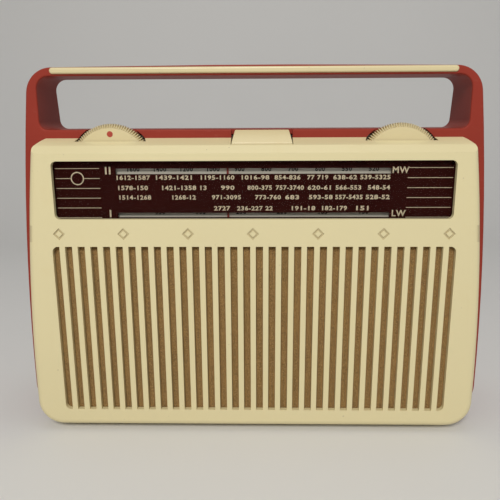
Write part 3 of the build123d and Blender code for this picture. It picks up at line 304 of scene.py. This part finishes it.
def moulded_cream(name, base, gloss=0.36, row=None):
    """Aged cream polystyrene: yellowing, dirt specks, painted shade towards the bottom, and painted
    shade in the recesses of an engraved row at height row.
    """
    finish = Finish(name, gloss, base, Coat_Weight=0.12, Coat_Roughness=0.20)
    cloud = finish.noise(14, 4)
    stain = finish.ramp(finish.noise(55, 5, 0.65), 0.56, 0.74)
    speck = finish.ramp(finish.noise(520, 2, 0.5), 0.75, 0.78)
    grain = finish.noise(1100, 2)
    # Painted shade: the cream is made darker towards the bottom, where the light from above falls off
    lower = finish.ramp(finish.axis(2), 0.15, 0.0)
    body = finish.mix(cloud, shade(base, 0.95), shade(base, 1.04))
    body = finish.mix(lower * 0.30, body, (base[0] * 0.90, base[1] * 0.85, base[2] * 0.80))
    body = finish.mix(stain * 0.16, body, (base[0] * 0.90, base[1] * 0.82, base[2] * 0.66))
    body = finish.mix(speck * 0.55, body, (0.20, 0.15, 0.09))
    # Painted shade: within the engraved row, faces set back behind the front face are darkened as
    # shadow in the grooves
    if row is not None:
        level = (finish.axis(2) - row).size()
        depth = finish.ramp(finish.axis(1), PANEL_LOW.y + 0.10 * MM, PANEL_LOW.y + 0.50 * MM)
        body = finish.mix((1 - level.above(ENGRAVED_REACH)) * depth * 0.42, body, (0.33, 0.25, 0.13))
    finish.colour(body)
    finish.rough(gloss - 0.03 + cloud * 0.09 + stain * 0.10)
    finish.bump(grain * 0.5 + cloud, 0.07, 0.12 * MM)
    return finish.material


def dial_ground(base):
    """Maroon lacquer under the clear dial: nearly black, with dust and rubbed patches."""
    finish = Finish("dial_ground", 0.45, base, Specular_IOR_Level=0.03)
    cloud = finish.noise(30, 4)
    dust = finish.ramp(finish.noise(620, 4, 0.7), 0.62, 0.80)
    body = finish.mix(cloud, shade(base, 0.75), shade(base, 1.35))
    finish.colour(finish.mix(dust * 0.08, body, (0.11, 0.07, 0.055)))
    finish.rough(0.40 + dust * 0.3)
    finish.bump(cloud, 0.05, 0.10 * MM)
    return finish.material


def printed_ink(name, base):
    """Screen-printed ink with thin spots."""
    finish = Finish(name, 0.55, base)
    thin = finish.noise(1500, 3, 0.6)
    finish.colour(finish.mix(finish.ramp(thin, 0.35, 0.7), shade(base, 0.68), shade(base, 1.05)))
    return finish.material


def number_card():
    """Off-white printed strip behind the scale."""
    base = (0.66, 0.62, 0.52)
    finish = Finish("number_card", 0.6, base)
    cloud = finish.noise(40, 4)
    finish.colour(finish.mix(cloud, shade(base, 0.86), shade(base, 1.08)))
    finish.bump(finish.noise(900, 2), 0.08, 0.05 * MM)
    return finish.material


def clear_dial():
    """Clear acrylic, seen as little more than its reflections."""
    finish = Finish(
        "clear_dial", 0.05, (0.010, 0.005, 0.005), IOR=1.45, Alpha=0.05,
        Specular_IOR_Level=0.20,
    )
    smear = finish.noise(60, 5, 0.6)
    finish.rough(0.03 + finish.ramp(smear, 0.45, 0.75) * 0.12)
    return finish.material


def woven_cloth(base, pitch):
    """Plain weave with brown warp, golden weft and flecked yarn, over threads that are modelled."""
    finish = Finish("woven_cloth", 0.85, base, Sheen_Weight=0.15, Sheen_Roughness=0.5)
    turns = 2 * math.pi / pitch
    across = (finish.axis(0) * turns).sine()
    along = (finish.axis(2) * turns).sine()
    checker = finish.ramp(across * along, -0.35, 0.35)
    streak = finish.ramp(finish.noise(1, 3, 0.6, finish.stretched((900, 1, 45))), 0.38, 0.62)
    slub = finish.ramp(finish.noise(1, 3, 0.6, finish.stretched((70, 1, 800))), 0.45, 0.65)
    fleck = finish.ramp(finish.noise(2300, 4, 0.75), 0.50, 0.62)
    pit = finish.ramp(finish.noise(1900, 4, 0.75), 0.50, 0.60)
    body = finish.mix(checker, shade(base, 0.78), (base[0] * 1.25, base[1] * 1.30, base[2] * 1.40))
    cloud = finish.ramp(finish.noise(1, 4, 0.6, finish.stretched((55, 1, 14))), 0.40, 0.64)
    body = finish.mix(cloud * 0.35, body, shade(base, 0.62))
    body = finish.mix(streak * 0.60, body, shade(base, 0.50))
    body = finish.mix(slub * 0.25, body, shade(base, 1.45))
    body = finish.mix(pit * 0.75, body, shade(base, 0.22))
    body = finish.mix(fleck * 0.60, body, (0.66, 0.44, 0.19))
    finish.colour(body)
    finish.bump(checker + fleck * 0.6 + streak * 0.4, 0.40, 0.12 * MM)
    return finish.material


def plain_metal(name, base, roughness):
    """Rolled or turned metal with fine drag lines."""
    finish = Finish(name, roughness, base, Metallic=1.0)
    drag = finish.noise(1, 3, 0.6, finish.stretched((40, 900, 900)))
    cloud = finish.noise(60, 3)
    finish.colour(finish.mix(cloud, shade(base, 0.82), shade(base, 1.08)))
    finish.rough(roughness - 0.06 + drag * 0.16)
    finish.bump(drag, 0.06, 0.05 * MM)
    return finish.material


def plain_part(name, base, roughness, scale=90, spread=0.16, bump=0.12):
    """Unpolished inner part: board, card, moulding, iron or paper."""
    finish = Finish(name, roughness, base)
    cloud = finish.noise(scale, 5, 0.6)
    grain = finish.noise(scale * 14, 3)
    finish.colour(finish.mix(cloud, shade(base, 1 - spread), shade(base, 1 + spread)))
    finish.rough(roughness - 0.05 + grain * 0.12)
    finish.bump(grain, bump, 0.12 * MM)
    return finish.material


# ---- modelling helpers ---------------------------------------------------------------------------
UPRIGHT = Matrix.Rotation(math.radians(90), 3, "X")


def piece_from(bm, name, material, body, replaces=(), smooth_below=35.0):
    """Turn a bmesh into a finished piece at the origin, riding on its body."""
    for face in bm.faces:
        face.smooth = True
    for edge in bm.edges:
        if edge.is_manifold and edge.calc_face_angle(0) > math.radians(smooth_below):
            edge.smooth = False
    mesh = bpy.data.meshes.new(name)
    bm.to_mesh(mesh)
    bm.free()
    mesh.materials.append(material)
    piece = bpy.data.objects.new(name, mesh)
    bpy.context.scene.collection.objects.link(piece)
    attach(piece, body)
    if replaces:
        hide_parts(*replaces)
    return piece


def softened(node, name, material, body, width, segments=2):
    """A piece with a CAD node's shape and its hard edges rounded, as a moulding's are."""
    bm = bmesh.new()
    bm.from_mesh(NODES[node].data)
    bmesh.ops.remove_doubles(bm, verts=bm.verts, dist=0.002 * MM)
    bmesh.ops.dissolve_limit(
        bm, angle_limit=math.radians(0.6), verts=bm.verts, edges=bm.edges,
        use_dissolve_boundaries=False,
    )
    hard = [e for e in bm.edges if e.is_manifold and e.calc_face_angle(0) > math.radians(28)]
    bmesh.ops.bevel(
        bm, geom=hard, offset=width, offset_type="OFFSET", segments=segments, profile=0.5,
        affect="EDGES", clamp_overlap=True, material=-1, harden_normals=False,
    )
    bmesh.ops.recalc_face_normals(bm, faces=bm.faces)
    piece = piece_from(bm, name, material, body, (node,))
    weights = piece.modifiers.new("even_shading", "WEIGHTED_NORMAL")
    weights.keep_sharp = True
    weights.weight = 60
    return piece


def ring(bm, centre, y, radius, valley=None, count=64):
    """Edges of a ring round a Y axis; with a valley radius, every second pair is drawn in."""
    made = bmesh.ops.create_circle(bm, cap_ends=False, radius=radius, segments=count)["verts"]
    if valley is not None:
        for index, vertex in enumerate(made):
            if index % 4 in (2, 3):
                vertex.co *= valley / radius
    bmesh.ops.rotate(bm, verts=made, cent=(0, 0, 0), matrix=UPRIGHT)
    bmesh.ops.translate(bm, verts=made, vec=(centre[0], y, centre[1]))
    return list({edge for vertex in made for edge in vertex.link_edges})


def turned(bm, centre, stations, count=64, closed=True):
    """Bridge rings at (depth, radius[, valley]) stations, close both ends if asked, face outwards."""
    rings = [ring(bm, centre, *station, count=count) for station in stations]
    for near, far in zip(rings, rings[1:]):
        bmesh.ops.bridge_loops(bm, edges=near + far)
    if closed:
        bmesh.ops.holes_fill(bm, edges=rings[0] + rings[-1], sides=0)
    bm.normal_update()
    depth = sum(station[0] for station in stations) / len(stations)
    middle = Vector((centre[0], depth, centre[1]))
    made = {face for edges in rings for edge in edges for face in edge.link_faces}
    wrong = [face for face in made if face.normal.dot(face.calc_center_median() - middle) < 0]
    bmesh.ops.reverse_faces(bm, faces=wrong)


def block(bm, low, high):
    """A box between two corners."""
    made = bmesh.ops.create_cube(bm, size=1.0)["verts"]
    size = Vector(high) - Vector(low)
    bmesh.ops.scale(bm, verts=made, vec=size)
    bmesh.ops.translate(bm, verts=made, vec=Vector(low) + size / 2)


def figures(bm, text, height, x, y, z, thickness, weight=0.0, width=None):
    """Set a line of figures upright on a plane that faces the front, centred on x and z."""
    curve = bpy.data.curves.new("figures", "FONT")
    curve.body = text
    curve.align_x = "CENTER"
    curve.resolution_u = 2
    curve.space_character = 1.12
    curve.offset = weight
    holder = bpy.data.objects.new("figures", curve)
    bpy.context.scene.collection.objects.link(holder)
    bpy.context.view_layer.update()
    graph = bpy.context.evaluated_depsgraph_get()
    flat = bpy.data.meshes.new_from_object(holder.evaluated_get(graph))
    bpy.data.objects.remove(holder)
    bpy.data.curves.remove(curve)
    heights = [vertex.co.y for vertex in flat.vertices]
    places = [vertex.co.x for vertex in flat.vertices]
    low, high = min(heights), max(heights)
    scale = height / (high - low)
    across = max(places) - min(places)
    stretch = 1.0 if width is None else width / (across * scale)
    first = len(bm.verts)
    bm.from_mesh(flat)
    bpy.data.meshes.remove(flat)
    bm.verts.ensure_lookup_table()
    verts = bm.verts[first:]
    bmesh.ops.translate(bm, verts=verts, vec=(0, -(low + high) / 2, 0))
    bmesh.ops.scale(bm, verts=verts, vec=(scale * stretch, scale, 1))
    bmesh.ops.rotate(bm, verts=verts, cent=(0, 0, 0), matrix=UPRIGHT)
    bmesh.ops.translate(bm, verts=verts, vec=(x, y, z))
    faces = list({face for vertex in verts for face in vertex.link_faces})
    raised = bmesh.ops.extrude_face_region(bm, geom=faces)
    moved = [item for item in raised["geom"] if isinstance(item, bmesh.types.BMVert)]
    bmesh.ops.translate(bm, verts=moved, vec=(0, -thickness, 0))


# ---- operators -----------------------------------------------------------------------------------
# Yaw, pitch and roll in degrees, then millimetres to the right, before the front and over its foot
CAMERA_TURN = (1.125, 13.279, -0.271)
CAMERA_PLACE = (3.62, 255.39, 152.04)

# Name, place, what it faces, size, power and colour of each soft lamp
SUBJECT = (0, -0.02, 0.09)
LAMPS = (
    ("key", (-0.10, -1.05, 0.88), SUBJECT, 0.34, 11.4, (1.0, 0.975, 0.93)),
    ("overhead", (0.0, -0.10, 1.1), SUBJECT, 0.60, 1.3, (1.0, 0.98, 0.95)),
    ("side_fill", (1.1, -0.3, 0.5), (0, 0, 0.1), 0.6, 1.0, (0.95, 0.97, 1.0)),
)


class RADIO_OT_stage(bpy.types.Operator):
    """Set up the pale floor, the soft lights and the camera"""

    bl_idname = "radio.stage"
    bl_label = "Stage, lights and camera"

    def execute(self, context):
        scene = context.scene
        scene.view_settings.view_transform = "Standard"
        bm = bmesh.new()
        bmesh.ops.create_grid(bm, x_segments=1, y_segments=1, size=1.5)
        back = [edge for edge in bm.edges if all(vertex.co.y > 1 for vertex in edge.verts)]
        bmesh.ops.translate(bm, verts=back[0].verts[:], vec=(0, -0.75, 0))
        wall = bmesh.ops.extrude_edge_only(bm, edges=back)["geom"]
        risen = [item for item in wall if isinstance(item, bmesh.types.BMVert)]
        bmesh.ops.translate(bm, verts=risen, vec=(0, 0.25, 1.6))
        bend = [edge for edge in bm.edges if edge.is_manifold]
        bmesh.ops.bevel(
            bm, geom=bend, offset=0.35, segments=12, profile=0.5, affect="EDGES", material=-1,
        )
        for face in bm.faces:
            face.smooth = True
        mesh = bpy.data.meshes.new("floor")
        bm.to_mesh(mesh)
        bm.free()
        floor = bpy.data.objects.new("floor", mesh)
        scene.collection.objects.link(floor)
        paper = Finish("floor_paper", 0.80, (0.72, 0.71, 0.69))
        cloud = paper.noise(3, 3)
        paper.colour(paper.mix(cloud, (0.70, 0.69, 0.67), (0.74, 0.73, 0.71)))
        mesh.materials.append(paper.material)

        world = bpy.data.worlds.new("soft_room")
        world.use_nodes = True
        background = world.node_tree.nodes["Background"]
        background.inputs["Color"].default_value = (0.93, 0.96, 1.0, 1)
        background.inputs["Strength"].default_value = 0.22
        scene.world = world
        for lamp in LAMPS:
            self.lamp(*lamp)

        lens = bpy.data.cameras.new("camera")
        camera = bpy.data.objects.new("camera", lens)
        scene.collection.objects.link(camera)
        lens.sensor_width = 36.0
        lens.lens = 40.32
        lens.clip_start = 0.01
        lens.clip_end = 20.0
        yaw, pitch, roll = (math.radians(angle) for angle in CAMERA_TURN)
        forward = Vector((
            -math.sin(yaw) * math.cos(pitch), math.cos(yaw) * math.cos(pitch), -math.sin(pitch),
        ))
        level = Vector((math.cos(yaw), math.sin(yaw), 0))
        upward = level.cross(forward)
        right = level * math.cos(roll) + upward * math.sin(roll)
        upward = upward * math.cos(roll) - level * math.sin(roll)
        turn = Matrix((right, upward, -forward)).transposed()
        aside, before, over = (step * MM for step in CAMERA_PLACE)
        place = Vector((aside, PANEL_LOW.y - before, PANEL_LOW.z + over))
        camera.matrix_world = Matrix.Translation(place) @ turn.to_4x4()
        scene.camera = camera
        return {"FINISHED"}

    def lamp(self, name, place, target, size, power, colour):
        """A square soft lamp that faces a target."""
        data = bpy.data.lights.new(name, "AREA")
        data.shape = "SQUARE"
        data.size = size
        data.energy = power
        data.color = colour
        lamp = bpy.data.objects.new(name, data)
        bpy.context.scene.collection.objects.link(lamp)
        lamp.location = place
        lamp.rotation_euler = (Vector(target) - Vector(place)).to_track_quat("-Z", "Y").to_euler()


class RADIO_OT_case(bpy.types.Operator):
    """Make the red case with its handle and the battery cover"""

    bl_idname = "radio.case"
    bl_label = "Red case and cover"

    def execute(self, context):
        colours, sizes = context.scene.radio_colours, context.scene.radio_sizes
        red = moulded_red(tuple(colours.case_red))
        softened("rear_case", "case_shell", red, "case", sizes.case_edge)
        softened("back_cover", "battery_cover", red, "cover", 0.3 * MM)
        return {"FINISHED"}


class RADIO_OT_front(bpy.types.Operator):
    """Make the cream front, the waveband key and the handle strip"""

    bl_idname = "radio.front"
    bl_label = "Cream front"

    def execute(self, context):
        colours, sizes = context.scene.radio_colours, context.scene.radio_sizes
        engraved_row = WINDOW_BOTTOM - ENGRAVED_DROP
        cream = moulded_cream("moulded_cream", tuple(colours.front_cream), row=engraved_row)
        softened("front_panel", "front_shell", cream, "case", sizes.front_edge)
        trim = moulded_cream("trim_cream", tuple(colours.trim_cream), 0.32)
        softened("handle_strip", "handle_inlay", trim, "case", 0.15 * MM)
        softened("band_key", "waveband_key", trim, "key", 0.28 * MM)
        return {"FINISHED"}


class RADIO_OT_cloth(bpy.types.Operator):
    """Weave the loudspeaker cloth behind the slots"""

    bl_idname = "radio.cloth"
    bl_label = "Loudspeaker cloth"

    def execute(self, context):
        colours, sizes = context.scene.radio_colours, context.scene.radio_sizes
        material = woven_cloth(tuple(colours.cloth_brown), sizes.thread_pitch)
        width = CLOTH_HIGH.x - CLOTH_LOW.x
        height = CLOTH_HIGH.z - CLOTH_LOW.z
        cells = 3 / sizes.thread_pitch
        turns = 2 * math.pi / sizes.thread_pitch
        rise = 0.07 * MM
        bm = bmesh.new()
        bmesh.ops.create_grid(
            bm, x_segments=int(width * cells), y_segments=int(height * cells), size=0.5,
        )
        bmesh.ops.scale(bm, verts=bm.verts, vec=(width, height, 1))
        bmesh.ops.rotate(bm, verts=bm.verts, cent=(0, 0, 0), matrix=UPRIGHT)
        middle = (CLOTH_LOW + CLOTH_HIGH) / 2
        bmesh.ops.translate(bm, verts=bm.verts, vec=middle)
        for vertex in bm.verts:
            vertex.co.y -= rise * math.sin(vertex.co.x * turns) * math.sin(vertex.co.z * turns)
        cloth = piece_from(
            bm, "grille_cloth", material, "case", ("speaker_cloth",), 80,
        )
        return {"FINISHED"}


# Each row's drop below the window's top, then its groups' middles, widths and figures, in millimetres
FIGURE_ROWS = (
    (7.9, (
        (-55.8, 15.6, "1612-1587"), (-36.6, 16.7, "1439-1421"), (-16.6, 15.6, "1195-1160"),
        (0.9, 12.8, "1016-98"), (16.0, 12.0, "854-836"), (29.9, 9.7, "77 719"),
        (42.5, 11.0, "638-62"), (56.4, 13.9, "539-5325"),
    )),
    (12.65, (
        (-56.1, 13.9, "1578-150"), (-32.1, 20.7, "1421-1358 13"), (-11.7, 6.3, "990"),
        (3.2, 11.4, "800-375"), (17.1, 13.0, "757-3740"), (31.0, 10.7, "620-61"),
        (44.2, 11.8, "566-553"), (58.2, 10.2, "548-54"),
    )),
    (17.1, (
        (-55.3, 14.9, "1514-1268"), (-32.4, 11.0, "1268-12"), (-12.3, 13.6, "971-3095"),
        (7.0, 12.0, "773-760"), (18.3, 6.5, "683"), (31.5, 11.0, "593-58"),
        (44.6, 12.7, "557-5435"), (57.8, 11.1, "528-52"),
    )),
    (22.3, (
        (-14.5, 7.6, "2727"), (0.9, 16.7, "236-227 22"), (23.3, 11.0, "191-18"),
        (37.8, 11.6, "182-179"), (51.0, 5.7, "151"),
    )),
)
UPPER_NUMBERS = (1600, 1400, 1200, 1000, 900, 800, 700, 600, 550, 520)
LOWER_NUMBERS = (350, 300, 250, 200, 185, 150)


class RADIO_OT_dial(bpy.types.Operator):
    """Finish the dial: ground, printing, number strip, pointer and clear window"""

    bl_idname = "radio.dial"
    bl_label = "Dial"

    def execute(self, context):
        colours, sizes = context.scene.radio_colours, context.scene.radio_sizes
        give("scale_plate", dial_ground(tuple(colours.dial_maroon)))
        give("dial_glass", clear_dial())
        give("number_strip", number_card())
        give("pointer", plain_part("pointer_paint", (0.20, 0.025, 0.015), 0.4))
        ink = printed_ink("dial_ink", tuple(colours.dial_ink))
        self.station_rows(ink, sizes)
        self.rules(ink, sizes)
        self.scale_numbers(sizes)
        return {"FINISHED"}

    def station_rows(self, ink, sizes):
        """Four rows of plain figures between the two slots, and the waveband marks."""
        face = SCALE_LOW.y
        bm = bmesh.new()
        thickness = sizes.print_thickness
        height = sizes.print_height
        for drop, marks in FIGURE_ROWS:
            z = WINDOW_TOP - drop * MM
            for x, width, number in marks:
                figures(bm, number, height, x * MM, face, z, thickness, 0.03, width * MM)
        upper = WINDOW_TOP - 4.6 * MM
        lower = WINDOW_BOTTOM + 2.1 * MM
        for band, z in (("MW", upper), ("LW", lower)):
            figures(bm, band, 3.0 * MM, 67.8 * MM, face, z, thickness, 0.02)
        for x in (-68.1, -66.3):
            self.bar(bm, x, upper, sizes)
        self.bar(bm, -67.1, lower, sizes)
        piece_from(bm, "dial_figures", ink, "case")

    def bar(self, bm, x, z, sizes):
        """One upright stroke of a waveband mark."""
        half, reach = 0.38 * MM, 1.75 * MM
        block(
            bm, (x * MM - half, SCALE_LOW.y - sizes.print_thickness, z - reach),
            (x * MM + half, SCALE_LOW.y, z + reach),
        )

    def rules(self, ink, sizes):
        """Fine rules at both ends of the dial, one of them broken by a plain ring."""
        bm = bmesh.new()
        inner = 71.2 * MM
        outer = WINDOW_HALF - 0.4 * MM
        half = 0.13 * MM
        ring_x, ring_reach, line = -81.6 * MM, 3.1 * MM, 0.5 * MM
        front = SCALE_LOW.y - sizes.print_thickness
        first, gap = 3.6 * MM, 4.6 * MM
        for row in range(6):
            z = WINDOW_TOP - first - row * gap
            spans = [(-outer, -inner), (inner, outer)]
            if row == 1:
                spans = [(-outer, ring_x - ring_reach), (ring_x + ring_reach, -inner), (inner, outer)]
                edge = [(front, ring_reach - line), (front, ring_reach), (SCALE_LOW.y, ring_reach)]
                turned(bm, (ring_x, z), edge, 40, closed=False)
            for start, end in spans:
                block(bm, (start, front, z - half), (end, SCALE_LOW.y, z + half))
        piece_from(bm, "dial_rules", ink, "case")

    def scale_numbers(self, sizes):
        """Dark figures on the strip, read through the two slots."""
        black = printed_ink("scale_ink", (0.025, 0.022, 0.020))
        bm = bmesh.new()
        face = NUMBERS_LOW.y + NUMBER_SETBACK
        reach = 56 * MM
        rows = (
            (UPPER_NUMBERS, -reach, 2 * reach, WINDOW_TOP - 4.2 * MM),
            (LOWER_NUMBERS, -reach + 12 * MM, 2 * reach - 16 * MM, WINDOW_BOTTOM + 2.5 * MM),
        )
        for numbers, start, span, z in rows:
            for index, number in enumerate(numbers):
                x = start + span * index / (len(numbers) - 1)
                figures(bm, str(number), 2.3 * MM, x, face, z, sizes.print_thickness, 0.04)
        piece_from(bm, "scale_numbers", black, "case")


class RADIO_OT_wheels(bpy.types.Operator):
    """Cut the two serrated thumbwheels"""

    bl_idname = "radio.wheels"
    bl_label = "Thumbwheels"

    def execute(self, context):
        colours, sizes = context.scene.radio_colours, context.scene.radio_sizes
        cream = moulded_cream("wheel_cream", tuple(colours.trim_cream), 0.34)
        for node, name, body in (
            ("tuning_wheel", "tuning_thumbwheel", "tuning"),
            ("volume_wheel", "volume_thumbwheel", "volume"),
        ):
            self.wheel(node, name, body, cream, sizes)
        dot = bmesh.new()
        centre, radius = middle_and_radius(*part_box("volume_dot"))
        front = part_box("volume_wheel")[0].y
        sunk, shoulder, proud = front + 0.30 * MM, front - 0.03 * MM, front - 0.08 * MM
        turned(dot, centre, [(sunk, radius), (shoulder, radius), (proud, radius * 0.84)], 24)
        red = plain_part("dot_paint", (0.42, 0.055, 0.030), 0.35)
        piece_from(dot, "volume_mark", red, "volume", ("volume_dot",))
        return {"FINISHED"}

    def wheel(self, node, name, body, material, sizes):
        """One wheel: bevelled faces, and valleys a little deeper than the bevel alone gives."""
        low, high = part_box(node)
        centre, rim = middle_and_radius(low, high)
        face = rim - WHEEL_BEVEL_IN
        in_bevel = WHEEL_BEVEL_DEEP * sizes.tooth_depth / WHEEL_BEVEL_IN
        valley = rim - sizes.tooth_depth - (WHEEL_BEVEL_DEEP - in_bevel) * VALLEY_SHARE
        stations = [
            (low.y, WHEEL_BORE),
            (low.y, face),
            (low.y + WHEEL_BEVEL_DEEP, rim, valley),
            (high.y - WHEEL_BEVEL_DEEP, rim, valley),
            (high.y, face),
            (high.y, WHEEL_BORE),
        ]
        bm = bmesh.new()
        turned(bm, centre, stations, 4 * sizes.wheel_teeth)
        piece_from(bm, name, material, body, (node,), 30)


def middle_and_radius(low, high):
    """Middle in X and Z, and radius, of a round piece whose axis is Y."""
    return ((low.x + high.x) / 2, (low.z + high.z) / 2), (high.x - low.x) / 2


class RADIO_OT_inside(bpy.types.Operator):
    """Give the chassis, loudspeaker, batteries and other inner parts their finishes"""

    bl_idname = "radio.inside"
    bl_label = "Inner parts"

    def execute(self, context):
        steel = plain_metal("plated_steel", (0.56, 0.56, 0.54), 0.34)
        brass = plain_metal("brass", (0.66, 0.46, 0.18), 0.30)
        aluminium = plain_metal("aluminium", (0.70, 0.70, 0.71), 0.32)
        finishes = {
            "steel": steel,
            "brass_parts": brass,
            "shaft_aluminium": aluminium,
            "hardboard": plain_part("hardboard", (0.16, 0.095, 0.05), 0.8, 240),
            "control_plastic": plain_part("phenolic", (0.05, 0.035, 0.028), 0.45),
            "cone_paper": plain_part("cone_paper", (0.05, 0.046, 0.042), 0.9, 400),
            "magnet_iron": plain_part("dark_iron", (0.10, 0.10, 0.105), 0.5, 200),
            "tray_grey": plain_part("tray_grey", (0.26, 0.25, 0.235), 0.5),
            "battery_card": plain_part("battery_card", (0.07, 0.16, 0.22), 0.65, 120),
            "board_brown": plain_part("phenolic_board", (0.28, 0.15, 0.055), 0.5, 160),
            "transistor_black": plain_part("black_lacquer", (0.02, 0.02, 0.02), 0.3),
            "resistor_tan": plain_part("lacquered_ceramic", (0.42, 0.30, 0.17), 0.5, 500),
            "coil_copper": plain_metal("copper_winding", (0.50, 0.20, 0.09), 0.40),
            "cord_thread": plain_part("waxed_thread", (0.45, 0.38, 0.25), 0.8, 900),
            "foot_rubber": plain_part("foot_rubber", (0.022, 0.022, 0.022), 0.8, 300),
        }
        slots = {row["node"]: row["material_slot"] for row in frame["record"]["subparts"]}
        for node, slot in slots.items():
            if slot in finishes:
                give(node, finishes[slot])
        return {"FINISHED"}


def give(node, material):
    """Put a finish on a CAD node."""
    mesh = NODES[node].data
    if not mesh.materials:
        mesh.materials.append(material)
    for index in range(len(mesh.materials)):
        mesh.materials[index] = material


class RADIO_PT_panel(bpy.types.Panel):
    """Every step and every size and colour, in the sidebar"""

    bl_label = "Radio"
    bl_idname = "RADIO_PT_panel"
    bl_space_type = "VIEW_3D"
    bl_region_type = "UI"
    bl_category = "Radio"

    def draw(self, context):
        for step in STEPS:
            self.layout.operator(step.bl_idname)
        for group in (context.scene.radio_colours, context.scene.radio_sizes):
            box = self.layout.box()
            for key in group.__annotations__:
                box.prop(group, key)


STEPS = (
    RADIO_OT_stage,
    RADIO_OT_case,
    RADIO_OT_front,
    RADIO_OT_cloth,
    RADIO_OT_dial,
    RADIO_OT_wheels,
    RADIO_OT_inside,
)
CLASSES = (RadioColours, RadioSizes, *STEPS, RADIO_PT_panel)


def register():
    for cls in CLASSES:
        bpy.utils.register_class(cls)
    bpy.types.Scene.radio_colours = bpy.props.PointerProperty(type=RadioColours)
    bpy.types.Scene.radio_sizes = bpy.props.PointerProperty(type=RadioSizes)


def unregister():
    del bpy.types.Scene.radio_sizes
    del bpy.types.Scene.radio_colours
    for cls in reversed(CLASSES):
        bpy.utils.unregister_class(cls)


def main():
    register()
    for step in STEPS:
        group, call = step.bl_idname.split(".")
        getattr(getattr(bpy.ops, group), call)()


if __name__ == "__main__":
    main()
